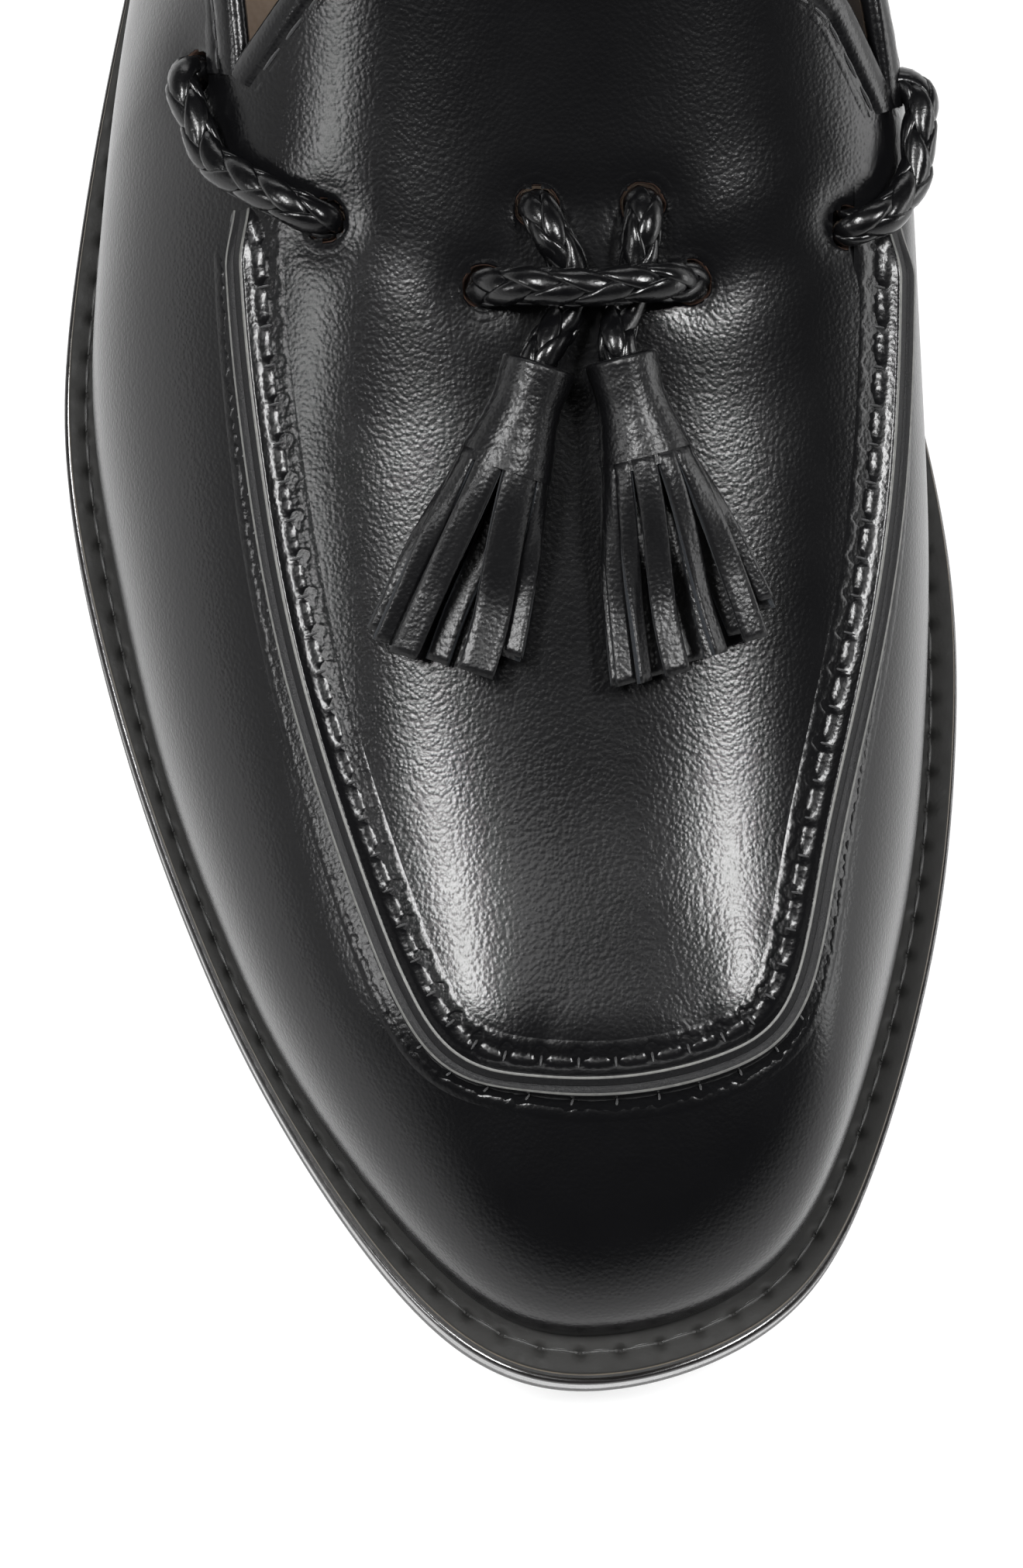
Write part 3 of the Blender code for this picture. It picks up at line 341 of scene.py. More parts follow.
# The welt's section in shares of its width from the upper, and millimetres above its top;
# hole is how deep an awl hole is at that point, once each stitch.
WeltPoint = namedtuple("WeltPoint", "share height hole slot")
WELT_PITCH = 4.8 * MM
WELT_STEPS = 12
WELT_HOLE = 0.60 * MM
WELT_STITCH_SHARE = 0.44
WELT_STITCH_SUNK = 0.42 * MM
WELT_SECTION = [
    WeltPoint(0.00, 0.00, 0.00, 0), WeltPoint(0.18, 0.02, 0.00, 0),
    WeltPoint(0.30, 0.02, 0.06, 0), WeltPoint(0.38, -0.02, 0.50, 0),
    WeltPoint(0.44, -0.04, 0.75, 0), WeltPoint(0.50, -0.02, 0.50, 0),
    WeltPoint(0.58, 0.03, 0.06, 0), WeltPoint(0.76, 0.04, 0.00, 0),
    WeltPoint(0.92, -0.01, 0.00, 0), WeltPoint(0.975, -0.10, 0.00, 1),
    WeltPoint(1.00, -0.34, 0.00, 0), WeltPoint(1.00, -2.20, 0.00, 0),
    WeltPoint(0.96, -2.60, 0.00, 0),
]

# The sole's edge, out from the sole's outline, and heights above its underside
SolePoint = namedtuple("SolePoint", "out height")
SOLE_SECTION = [
    SolePoint(-0.55, 5.00), SolePoint(-0.16, 4.92), SolePoint(0.00, 4.66), SolePoint(0.00, 4.34),
    SolePoint(-0.16, 4.10), SolePoint(-0.12, 3.20), SolePoint(-0.10, 2.20), SolePoint(-0.12, 1.30),
    SolePoint(-0.18, 0.90), SolePoint(0.00, 0.68), SolePoint(0.00, 0.40), SolePoint(-0.20, 0.12),
    SolePoint(-0.70, 0.00),
]
SOLE_ACROSS = 12

# The heel's lifts, and the stations of its outline: round the back between two rows of the
# wall table on each side, and along the breast
LIFTS = 4
LIFT_GROOVE = 0.14 * MM
LIFT_ROUND = 0.12 * MM
LIFT_FLAT = 0.36 * MM
TOP_BEVEL = 0.5 * MM
BREAST_ROWS = (2, 5)
HEEL_STATIONS = 90
BREAST_STATIONS = 31

# A plait is two columns of lobes on each face, each lobe a stretch of one strand. A lobe
# comes up from the edge, dives at the middle and tapers at both its ends.
PLAIT_WIDTH = 4.6 * MM
PLAIT_THICK = 3.6 * MM
LOBE_LENGTH = 9.0 * MM
LOBE_WIDTH = 3.0 * MM
LOBE_THICK = 1.45 * MM
LOBE_PITCH = 5.6 * MM
LOBE_STATIONS = 15
LOBE_SIDES = 10
LOBE_FROM, LOBE_TO = 196, 62      # degrees round the lace, for the left column on top
LOBE_BEFORE = 0.55
DIVE_DEPTH = 1.15
DIVE_START = 0.04
DIVE_POWER = 0.6
LOBE_INSET = 0.9
TAPER_START, TAPER_RUN = 0.06, 0.90
TAPER_POWER = 0.55
CORE_SIDES = 12
ROUTE_SAMPLES = 25
ROUTE_STEP = 0.5 * MM

# A tassel's rolled head. The lap is where the roll ends on itself, and the rim rounds its
# mouth from the bore to the outside.
HEAD_SIDES = 56
HEAD_STATIONS = 34
HEAD_WRINKLE = 0.09 * MM
WRINKLES_ALONG, WRINKLES_ROUND, WRINKLE_PLACE = 900, 1.1, 7
HEAD_LAP = 0.45 * MM
HEAD_FLARES_FROM = 0.25
HEAD_WIDENS = 1.25 * MM
HEAD_RISES = 0.25 * MM
HEAD_WAIST = 0.35 * MM
BORE_SHOWN = 0.6
BORE_RINGS = 8
BORE_CLEARANCE = 0.1 * MM
RIM_STEPS = 6
RIM_BULGE = 0.30

# The fringe: flat strips cut from one piece of leather. A strip's angle is where its cut
# end lies round the tassel, in degrees from the lateral side over the top; width is
# millimetres, twist degrees at the end and length a share of the fringe. The paces say how
# much sooner than at its end a strip reaches its angle and its twist, and lies flat.
STRIP_THICK = 0.95 * MM
STRIP_BEVEL = 0.20 * MM
STRIP_SUNK = 0.03 * MM
STRIP_STATIONS = 26
STRIP_ROOT = -0.05
STRIP_FLARE = 0.85
STRIP_CLEARANCE = 0.05 * MM
ANGLE_PACE, TWIST_PACE, FLAT_PACE = 1.15, 1.3, 2
STRIP_SWING, SWING_PACE, SWING_PLACE = 0.08, 1.7, 0.3
STRIP_LIFT, LIFT_PACE, LIFT_PLACE = 0.5 * MM, 1.5, 5.1
STRIPS_APART = 3.7
Strip = namedtuple("Strip", "angle width twist length")
FRINGES = {
    "lateral": [
        Strip(10, 2.5, 66, 0.93), Strip(31, 2.5, 52, 0.97), Strip(60, 3.3, 12, 1.00),
        Strip(124, 4.3, -6, 0.97), Strip(166, 2.4, -60, 0.83),
        Strip(198, 2.8, 0, 0.85), Strip(235, 2.8, 10, 0.93), Strip(272, 2.8, -8, 0.98),
        Strip(305, 2.8, 6, 0.96), Strip(338, 2.8, 0, 0.92),
    ],
    "medial": [
        Strip(7, 1.9, 64, 0.98), Strip(27, 2.4, 30, 0.99), Strip(47, 2.1, 58, 1.00),
        Strip(74, 3.0, 8, 1.00), Strip(104, 2.3, 40, 0.96), Strip(140, 3.0, -14, 0.94),
        Strip(172, 1.9, -62, 0.77),
        Strip(200, 2.8, 0, 0.82), Strip(235, 2.8, -10, 0.90), Strip(270, 2.8, 8, 0.97),
        Strip(303, 2.8, -6, 0.99), Strip(336, 2.8, 0, 0.97),
    ],
}

# Stitches: the thread's width, how far its middle bulges, and the share of a pitch that is
# left at each end
Stitch = namedtuple("Stitch", "width bulge gap")
SEAM_STITCH = Stitch(0.34 * MM, 0.06 * MM, 0.00)
BINDING_STITCH = Stitch(0.40 * MM, 0.10 * MM, 0.14)
LINING_STITCH = Stitch(0.45 * MM, 0.15 * MM, 0.14)
STRAP_STITCH = Stitch(0.40 * MM, 0.08 * MM, 0.12)
WELT_STITCH = Stitch(0.50 * MM, 0.42 * MM, 0.06)
THREAD_STATIONS = 8
THREAD_SIDES = 7
THREAD_DIVE = 0.08

# The camera: degrees above the horizon, leaning to the lateral side, and the toe's swing
# in the picture. PIXELS_PER_MM is the picture's scale at the target.
PICTURE = (1320, 2024)
CAMERA_RISE = 74.0
CAMERA_LEAN = 2.5
CAMERA_SWING = 2.5
CAMERA_DISTANCE = 750.0 * MM
CAMERA_TARGET = Vector((-2.0 * MM, -196.0 * MM, 35.0 * MM))
PIXELS_PER_MM = 10.9
SENSOR = 36.0

FLOOR_SIZE = 6.0
FLOOR_COLOR = (0.34, 0.34, 0.34)
FLOOR_GLOW = 0.74

# Soft lights: where they stand, their width and height in metres, and their power in watts
SoftLight = namedtuple("SoftLight", "name place width height power")
SOFT_LIGHTS = [
    SoftLight("lateral_box", (-0.86, -0.14, 2.05), 0.82, 0.40, 52.0),
    SoftLight("middle_box", (-0.10, -0.10, 2.15), 0.60, 0.34, 3.0),
    SoftLight("medial_box", (1.00, -0.18, 2.05), 0.70, 0.42, 46.0),
    SoftLight("lateral_side_box", (-1.25, -0.44, 0.85), 0.30, 0.30, 4.5),
    SoftLight("medial_low", (0.50, -0.14, 0.10), 0.35, 0.12, 0.60),
    SoftLight("back_box", (0.0, 0.9, 0.5), 0.6, 0.25, 1.5),
]
LIGHT_AIM = (0.0, -0.20, 0.05)
SKY_LOW, SKY_HIGH = 0.95, 0.02
SKY_FADE = (0.05, 0.50)


def unit(vectors):
    return vectors / np.linalg.norm(vectors, axis=-1, keepdims=True)


def smooth(t):
    t = np.clip(t, 0.0, 1.0)
    return t * t * (3 - 2 * t)


def lengths_along(points):
    """How far along a line each of its points lies."""
    return np.concatenate([[0.0], np.cumsum(np.linalg.norm(np.diff(points, axis=0), axis=1))])


def read_along(at, lengths, values):
    """Reads vectors that are known at lengths along a line, at other lengths."""
    return np.stack([np.interp(at, lengths, values[:, k]) for k in range(3)], axis=1)


def with_ends(points):
    """The points with one more beyond each end, for a curve through all of them."""
    return [points[0] * 2 - points[1], *points, points[-1] * 2 - points[-2]]


def tube(middle, side, up, width, height, sides):
    """A tube's rings round middle; width and height are half its own, at each point."""
    ring = np.linspace(0.0, tau, sides, endpoint=False)
    wide = np.cos(ring)[None, :, None] * width[:, None, None] * side[:, None, :]
    tall = np.sin(ring)[None, :, None] * height[:, None, None] * up[:, None, :]
    return Patch(middle[:, None, :] + wide + tall, around=True)


# The last's curves, as in the part's source, for single values and for arrays

def catmull(before, start, end, after, t):
    """A smooth curve from start to end that also heeds the points on either side."""
    pull = (end - before) * t
    bend = (2 * before - 5 * start + 4 * end - after) * t**2
    turn = (3 * start - before - 3 * end + after) * t**3
    return start + 0.5 * (pull + bend + turn)


@lru_cache(maxsize=None)
def closed_spline():
    """Turns values at the rows into the controls of a closed B-spline through them."""
    ones = np.eye(ROWS)
    beside = np.roll(ones, 1, axis=0) + np.roll(ones, -1, axis=0)
    return np.linalg.inv((4 * ones + beside) / 6)


@lru_cache(maxsize=None)
def column_controls(column):
    return closed_spline() @ np.array([getattr(line, column) for line in WALL_TABLE])


def read_controls(controls, row):
    i = int(np.floor(row))
    t = row - i
    weights = ((1 - t)**3, 3 * t**3 - 6 * t**2 + 4, 1 + 3 * t + 3 * t**2 - 3 * t**3, t**3)
    return sum(weight * controls[(i + k) % ROWS] for weight, k in zip(weights, (-1, 0, 1, 2))) / 6


def round_the_shoe(column, row):
    """Reads one column of the wall table between its rows."""
    return read_controls(column_controls(column), row)


@lru_cache(maxsize=None)
def instep_column(column):
    """The instep table's rows, one column's values there, and its smooth spline's slopes."""
    xs = np.array([line.along for line in INSTEP_TABLE])
    ys = np.array([getattr(line, column) for line in INSTEP_TABLE])
    steps, rises = np.diff(xs), np.diff(ys)
    last = len(xs) - 1
    pull = np.zeros((last + 1, last + 1))
    push = np.zeros(last + 1)
    pull[0, :2], push[0] = (2, 1), 3 * rises[0] / steps[0]
    pull[last, -2:], push[last] = (1, 2), 3 * rises[-1] / steps[-1]
    for i in range(1, last):
        before, after = steps[i - 1], steps[i]
        pull[i, i - 1:i + 2] = (1 / before, 2 / before + 2 / after, 1 / after)
        push[i] = 3 * (rises[i - 1] / before**2 + rises[i] / after**2)
    return xs, ys, np.linalg.solve(pull, push)


def along_instep(column, along):
    """Reads one column of the instep table between its rows."""
    xs, ys, slopes = instep_column(column)
    i = np.clip(np.searchsorted(xs, along) - 1, 0, len(xs) - 2)
    width = xs[i + 1] - xs[i]
    t = (along - xs[i]) / width
    level = ys[i] * (2 * t**3 - 3 * t**2 + 1) + ys[i + 1] * (3 * t**2 - 2 * t**3)
    return level + width * (slopes[i] * (t**3 - 2 * t**2 + t) + slopes[i + 1] * (t**3 - t**2))


def to_plan(along, across):
    return np.array((across * BALL_WIDTH, HEEL_BACK - along * LAST_LENGTH))


def to_along(y):
    return (HEEL_BACK - y) / LAST_LENGTH


def ground_clearance(y):
    """Height of the outsole's underside: flat seat, arch, flat ball and toe spring."""
    along = to_along(y)
    arch = 1 - smooth((along - SEAT_FRONT) / (BALL_BACK - SEAT_FRONT))
    spring = np.maximum(along - BALL_FRONT, 0.0) / (1 - BALL_FRONT)
    return HEEL_HEIGHT * arch + TOE_SPRING * spring**2


def welt_top(y):
    return ground_clearance(y) + OUTSOLE + GAP + WELT


def feather_height(y):
    return welt_top(y) + GAP


def instep_height(x, y):
    """Height of the vamp's upper surface, apron and tongue together."""
    along = to_along(y)
    ridge = feather_height(y) + along_instep("height", along) * INSTEP_HEIGHT
    off = x - along_instep("centre", along) * BALL_WIDTH
    half = along_instep("half", along) * BALL_WIDTH
    lateral = along_instep("drop_lateral", along)
    medial = along_instep("drop_medial", along)
    drop = np.where(off < 0, lateral, medial) * INSTEP_HEIGHT
    return ridge - drop * (np.abs(off) / half) ** CROWN_POWER


def on_instep(plan):
    return np.concatenate([plan, instep_height(plan[..., 0], plan[..., 1])[..., None]], axis=-1)


def instep_normal(plan):
    x, y = plan[..., 0], plan[..., 1]
    step = SLOPE_STEP
    slope_x = (instep_height(x + step, y) - instep_height(x - step, y)) / (2 * step)
    slope_y = (instep_height(x, y + step) - instep_height(x, y - step)) / (2 * step)
    return unit(np.stack([-slope_x, -slope_y, np.ones_like(slope_x)], axis=-1))


def feather_plan(row):
    """The feather line, seen from above."""
    return to_plan(round_the_shoe("along", row), round_the_shoe("across", row))


def outward(row):
    """The feather line's outward direction, seen from above."""
    run = feather_plan(row + ROW_STEP) - feather_plan(row - ROW_STEP)
    return unit(np.array((run[1], -run[0])))


def top_plan(row):
    """The wall's top edge, seen from above."""
    return to_plan(round_the_shoe("top_along", row), round_the_shoe("top_across", row))


def in_vamp(row):
    return NOTCH_LATERAL <= row % ROWS <= NOTCH_MEDIAL


def vamp_edge(row):
    """Top point of the wall on the instep's surface, and the way that it falls outward."""
    plan = top_plan(row)
    side = np.array((*outward(row), 0.0))
    normal = instep_normal(plan)
    return on_instep(plan), unit(side - normal * side.dot(normal))


@lru_cache(maxsize=None)
def collar_controls():
    """Spline controls of the top edge's rise above the feather line and its way down."""
    lines = []
    for number, line in enumerate(WALL_TABLE):
        if line.rise is None:
            point, down = vamp_edge(number)
            rise = (point[2] - feather_height(point[1])) / COLLAR_HEIGHT
        else:
            side = outward(number)
            fall = radians(line.fall)
            down = np.array((side[0] * cos(fall), side[1] * cos(fall), -sin(fall)))
            rise = line.rise
        lines.append((rise, *down))
    return closed_spline() @ np.array(lines)


def collar_edge(row):
    """Top point of a quarter's wall on the collar, and the way that it falls outward."""
    rise, *down = read_controls(collar_controls(), row)
    x, y = top_plan(row)
    return np.array((x, y, feather_height(y) + rise * COLLAR_HEIGHT)), unit(np.array(down))


@lru_cache(maxsize=None)
def wall_curve(row):
    """The four control points of the wall's section, from feather line to top edge."""
    plan = feather_plan(row)
    foot = np.array((*plan, feather_height(plan[1])))
    top, down = vamp_edge(row) if in_vamp(row) else collar_edge(row)
    chord = np.linalg.norm(top - foot)
    lean = radians(round_the_shoe("lean", row))
    side = outward(row)
    rising = np.array((side[0] * sin(lean), side[1] * sin(lean), cos(lean)))
    shoulder = round_the_shoe("shoulder", row)
    handles = (foot + rising * chord * FOOT_HANDLE, top + down * chord * shoulder)
    return np.array((foot, *handles, top))


def on_wall(row, levels):
    """Points of the wall's section, and its normals, at an array of levels."""
    level = np.asarray(levels, float)[:, None]
    rest = 1 - level
    a, b, c, d = wall_curve(row)
    points = a * rest**3 + b * 3 * rest**2 * level + c * 3 * rest * level**2 + d * level**3
    up = (b - a) * rest**2 + (c - b) * 2 * rest * level + (d - c) * level**2
    e, f, g, h = wall_curve(row + ROW_STEP)
    beside = e * rest**3 + f * 3 * rest**2 * level + g * 3 * rest * level**2 + h * level**3
    return points, unit(np.cross(beside - points, up))


@lru_cache(maxsize=None)
def wall_lengths(row):
    """How far down the wall each of its sampled levels lies from the top edge."""
    levels = np.linspace(1.0, 0.0, EDGE_SAMPLES)
    return lengths_along(on_wall(row, levels)[0]), levels


def levels_below_top(row, distances):
    lengths, levels = wall_lengths(row)
    return np.interp(distances, lengths, levels)


def spot_on_leather(spot):
    """A point of the lace's way, lifted off the leather, and the leather's normal."""
    if isinstance(spot, ApronSpot):
        plan = to_plan(spot.along, spot.across)
        base, normal = on_instep(plan), instep_normal(plan)
    else:
        points, normals = on_wall(spot.row, [spot.level])
        base, normal = points[0], normals[0]
    return base + normal * spot.lift, normal


def seam_share(row):
    """One where the apron's seam stands at its full height, zero where there is none."""
    rising = smooth((row - SEAM_STARTS[0]) / (SEAM_STARTS[1] - SEAM_STARTS[0]))
    falling = smooth((SEAM_ENDS[1] - row) / (SEAM_ENDS[1] - SEAM_ENDS[0]))
    return rising * falling


def outline_point(row, margin):
    """A point beside the feather line, by the margin outward, seen from above."""
    return feather_plan(row) + outward(row) * margin


def sole_edge(row):
    """The welt's and the outsole's outline, seen from above."""
    return outline_point(row, round_the_shoe("edge", row) * WELT_MARGIN)


# Meshes from grids of points

Patch = namedtuple("Patch", "points slots around along", defaults=(0, False, False))


def patch_faces(patch, start):
    """The patch's quads, numbered from start; around closes its lines, along the patch."""
    count, width = patch.points.shape[:2]
    i = np.arange(count if patch.along else count - 1)[:, None]
    j = np.arange(width if patch.around else width - 1)[None, :]
    ahead, beside = (i + 1) % count, (j + 1) % width
    corners = (i * width + j, ahead * width + j, ahead * width + beside, i * width + beside)
    return start + np.stack([np.broadcast_to(c, corners[2].shape) for c in corners], -1)


def new_object(name, mesh, materials):
    for material in materials:
        mesh.materials.append(material)
    made = bpy.data.objects.new(name, mesh)
    bpy.context.scene.collection.objects.link(made)
    return made


def make_piece(name, patches, materials, replaced=(), caps=False, welded=0.0):
    """One object from its patches. A patch's slots are one number or one for each column."""
    verts, faces, slots = [], [], []
    start = 0
    for patch in patches:
        quads = patch_faces(patch, start)
        verts.append(patch.points.reshape(-1, 3))
        faces += quads.reshape(-1, 4).tolist()
        slots += np.broadcast_to(patch.slots, quads.shape[:2]).reshape(-1).tolist()
        count, width = patch.points.shape[:2]
        if caps:
            faces.append(list(range(start, start + width)))
            faces.append(list(range(start + (count - 1) * width, start + count * width))[::-1])
            slots += [int(np.ravel(patch.slots)[0])] * 2
        start += count * width
    mesh = bpy.data.meshes.new(name)
    mesh.from_pydata(np.concatenate(verts).tolist(), [], faces)
    mesh.polygons.foreach_set("material_index", slots)
    if welded or caps or any(patch.around and not patch.along for patch in patches):
        bm = bmesh.new()
        bm.from_mesh(mesh)
        if welded:
            bmesh.ops.remove_doubles(bm, verts=bm.verts, dist=welded)
        bmesh.ops.recalc_face_normals(bm, faces=bm.faces)
        bm.to_mesh(mesh)
        bm.free()
    mesh.shade_smooth()
    made = new_object(name, mesh, materials)
    settle(made, replaced)
    return made


def settle(made, replaced=()):
    """The piece rides on the shoe, and hides the nodes that it stands for."""
    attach(made, "root")
    if replaced:
        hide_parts(*replaced)


# Materials

def new_material(name, color, roughness, coat=0.0, coat_roughness=0.15, specular=0.5, sheen=0.0):
    material = bpy.data.materials.new(name)
    material.use_nodes = True
    shader = material.node_tree.nodes["Principled BSDF"]
    shader.inputs["Base Color"].default_value = (*color, 1.0)
    shader.inputs["Roughness"].default_value = roughness
    shader.inputs["Coat Weight"].default_value = coat
    shader.inputs["Coat Roughness"].default_value = coat_roughness
    shader.inputs["Specular IOR Level"].default_value = specular
    shader.inputs["Sheen Weight"].default_value = sheen
    return material


def add_node(material, kind, inputs=(), **settings):
    """A node; an input is given a value, or the output socket that feeds it."""
    node = material.node_tree.nodes.new(kind)
    for key, value in settings.items():
        setattr(node, key, value)
    for key, value in dict(inputs).items():
        if isinstance(value, bpy.types.NodeSocket):
            material.node_tree.links.new(value, node.inputs[key])
        else:
            node.inputs[key].default_value = value
    return node


def place_of(material, stretch):
    """The piece's own metres, stretched along its axes."""
    coordinates = add_node(material, "ShaderNodeTexCoord")
    mapping = add_node(material, "ShaderNodeMapping", {
        "Vector": coordinates.outputs["Object"], "Scale": stretch})
    return mapping.outputs["Vector"]


def cells(material, place, size):
    """Rounded pebbles of this size; higher in their middle."""
    node = add_node(material, "ShaderNodeTexVoronoi", {
        "Vector": place, "Scale": 1 / size, "Smoothness": 0.6, "Randomness": 1.0},
        feature="SMOOTH_F1")
    turned = add_node(material, "ShaderNodeMath", {0: 1.0, 1: node.outputs["Distance"]},
                      operation="SUBTRACT")
    return turned.outputs["Value"]


def mottle(material, place, size, detail=3.0):
    """Soft cloudy unevenness of this size, from 0 to 1."""
    node = add_node(material, "ShaderNodeTexNoise", {
        "Vector": place, "Scale": 1 / size, "Detail": detail, "Roughness": 0.55})
    return node.outputs["Fac"]


def spread(material, factor, low, high):
    """Turns clouds, most of which lie near the middle, into a range of values."""
    node = add_node(material, "ShaderNodeMapRange", {
        "Value": factor, "From Min": 0.25, "From Max": 0.75, "To Min": low, "To Max": high})
    return node.outputs["Result"]


def blend_colors(material, factor, first, second):
    """Mixes two colours; inputs 6 and 7 and output 2 are the node's sockets for colours."""
    node = add_node(material, "ShaderNodeMix", {"Factor": factor}, data_type="RGBA")
    node.inputs[6].default_value = (*first, 1.0)
    node.inputs[7].default_value = (*second, 1.0)
    return node.outputs[2]


def feed(material, socket, output):
    shader = material.node_tree.nodes["Principled BSDF"]
    material.node_tree.links.new(output, shader.inputs[socket])


# A finish: its colour and roughness, the clouds that vary them and its bumps, one over
# another. Sizes and depths are millimetres. rough and colors are what the clouds spread
# over, detail is the clouds' own, and a bump without a pattern takes the clouds.
Bump = namedtuple("Bump", "pattern size depth detail", defaults=((),))
Finish = namedtuple(
    "Finish", "name color roughness clouds bumps rough colors detail specular coat "
    "coat_roughness sheen stretch",
    defaults=(None, None, 3.0, 0.5, 0.0, 0.15, 0.0, (1.0, 1.0, 1.0)))
FINISHES = {
    # Black box calf: fine pebbles, waxed
    "calf": Finish("calf_black", (0.0026, 0.0026, 0.003), 0.22, 14,
                   [Bump(cells, 0.50, 0.026), Bump(mottle, 0.22, 0.012)], rough=(0.20, 0.24),
                   colors=((0.0020, 0.0020, 0.0023), (0.0032, 0.0032, 0.0036)), specular=0.30),
    # Softer leather of the tassels, whose grain stands out in the light
    "tassel": Finish("tassel_leather", (0.003, 0.003, 0.0034), 0.33, 5,
                     [Bump(cells, 0.50, 0.058), Bump(mottle, 0.25, 0.024)],
                     rough=(0.30, 0.37), specular=0.35),
    "lining": Finish("lining_leather", (0.018, 0.016, 0.015), 0.58, 9, [Bump(mottle, 0.6, 0.05)],
                     rough=(0.5, 0.66)),
    # Thin glossy strands
    "plait": Finish("plait_leather", (0.002, 0.002, 0.0023), 0.22, 1.6, [Bump(mottle, 0.4, 0.03)],
                    rough=(0.18, 0.30), specular=0.30, coat=0.15, coat_roughness=0.10),
    # The raw, fibrous edge of dyed leather: blue-grey, rough and matt
    "cut": Finish("cut_edge", (0.016, 0.018, 0.021), 0.85, 0.16, [Bump(None, 0, 0.12)],
                  colors=((0.006, 0.007, 0.008), (0.028, 0.031, 0.036)), detail=4.0,
                  specular=0.15, sheen=0.05),
    # The seam's flat top, where both leathers are cut: grey and fibrous, worn shiny
    "lip": Finish("lip_leather", (0.004, 0.004, 0.0045), 0.45, 0.22, [Bump(None, 0, 0.06)],
                  rough=(0.34, 0.55), colors=((0.0015, 0.0015, 0.0018), (0.0060, 0.0060, 0.0068)),
                  detail=4.0, specular=0.20),
    # The two thin edges of the seam's top: skived cut edges, painted pale for the highlight along
    # them as well
    "skived_and_highlight": Finish("skived_edge_and_highlight", (0.13, 0.13, 0.12), 0.45, 0.8, [Bump(mottle, 0.25, 0.03)],
                     colors=((0.030, 0.030, 0.030), (0.15, 0.15, 0.14))),
    # Matt dark grey, mottled
    "welt": Finish("welt_leather_grey", (0.014, 0.014, 0.0135), 0.62, 2.2,
                   [Bump(mottle, 0.45, 0.04, (4.0,))], rough=(0.5, 0.75),
                   colors=((0.009, 0.009, 0.0085), (0.020, 0.0195, 0.0185)), detail=5.0,
                   specular=0.20),
    # The pale line where the welt's edge is trimmed bare
    "trim": Finish("welt_trim", (0.30, 0.22, 0.12), 0.5, 1.3, [Bump(mottle, 0.3, 0.03)],
                   colors=((0.020, 0.018, 0.015), (0.11, 0.085, 0.055))),
    # The sole's and heel's edge: black dressing, ironed and waxed
    "wax": Finish("edge_wax", (0.013, 0.012, 0.012), 0.20, 3.0, [Bump(None, 0, 0.04)],
                  rough=(0.14, 0.30), detail=5.0, coat=0.6, coat_roughness=0.10,
                  stretch=(1.0, 1.0, 6.0)),
    # The unworn underside of a leather sole, stained black
    "bottom": Finish("sole_bottom", (0.028, 0.025, 0.023), 0.5, 18, [Bump(mottle, 0.5, 0.05)],
                     colors=((0.020, 0.018, 0.017), (0.040, 0.035, 0.031)), detail=6.0),
    "rubber": Finish("heel_rubber_black", (0.018, 0.018, 0.018), 0.72, 6,
                     [Bump(cells, 0.7, 0.04)], rough=(0.65, 0.8)),
    "insole": Finish("insole_tan", (0.110, 0.070, 0.042), 0.6, 22, [Bump(cells, 0.8, 0.04)],
                     colors=((0.085, 0.054, 0.032), (0.135, 0.088, 0.054)), detail=5.0),
    # Undyed leather in a torn hole's rim: reddish brown
    "raw": Finish("raw_leather", (0.060, 0.026, 0.014), 0.8, 0.5, [Bump(mottle, 0.25, 0.1)],
                  colors=((0.016, 0.010, 0.008), (0.085, 0.036, 0.018))),
    "black_thread": Finish("thread_black", (0.007, 0.007, 0.008), 0.42, 0.15,
                           [Bump(None, 0, 0.05)], sheen=0.3),
    "beige_thread": Finish("thread_beige", (0.42, 0.33, 0.21), 0.42, 0.15,
                           [Bump(None, 0, 0.05)], sheen=0.3),
    "welt_thread": Finish("thread_grey", (0.016, 0.016, 0.015), 0.42, 0.15,
                          [Bump(None, 0, 0.05)], sheen=0.3),
}


def make_material(finish):
    material = new_material(finish.name, finish.color, finish.roughness, finish.coat,
                            finish.coat_roughness, finish.specular, finish.sheen)
    place = place_of(material, finish.stretch)
    clouds = mottle(material, place, finish.clouds * MM, finish.detail)
    if finish.rough:
        feed(material, "Roughness", spread(material, clouds, *finish.rough))
    if finish.colors:
        feed(material, "Base Color", blend_colors(material, clouds, *finish.colors))
    normal = None
    for bump in finish.bumps:
        height = clouds
        if bump.pattern:
            height = bump.pattern(material, place, bump.size * MM, *bump.detail)
        inputs = {"Height": height, "Distance": bump.depth * MM, "Strength": 1.0}
        if normal:
            inputs["Normal"] = normal
        normal = add_node(material, "ShaderNodeBump", inputs).outputs["Normal"]
    feed(material, "Normal", normal)
    feed(material, "Coat Normal", normal)
    return material


# Camera, lights and floor

def make_camera():
    """The photo's angle: nearly from above, over the toe, with the toe down in the picture."""
    lean, rise = radians(CAMERA_LEAN), radians(CAMERA_RISE)
    back = Vector((-sin(lean), -cos(rise) * cos(lean), sin(rise) * cos(lean))).normalized()
    toe = Vector((0.0, -1.0, 0.0))
    toe = (toe - back * toe.dot(back)).normalized()
    beside = back.cross(toe)
    swing = radians(CAMERA_SWING)
    up = -toe * cos(swing) + beside * sin(swing)
    right = up.cross(back)
    data = bpy.data.cameras.new("photo_camera")
    data.sensor_width = SENSOR
    data.sensor_fit = "AUTO"
    data.lens = PIXELS_PER_MM / MM * CAMERA_DISTANCE * SENSOR / PICTURE[1]
    camera = bpy.data.objects.new("photo_camera", data)
    place = CAMERA_TARGET + back * CAMERA_DISTANCE
    camera.matrix_world = Matrix((
        (right.x, up.x, back.x, place.x),
        (right.y, up.y, back.y, place.y),
        (right.z, up.z, back.z, place.z),
        (0.0, 0.0, 0.0, 1.0)))
    bpy.context.scene.collection.objects.link(camera)
    bpy.context.scene.camera = camera


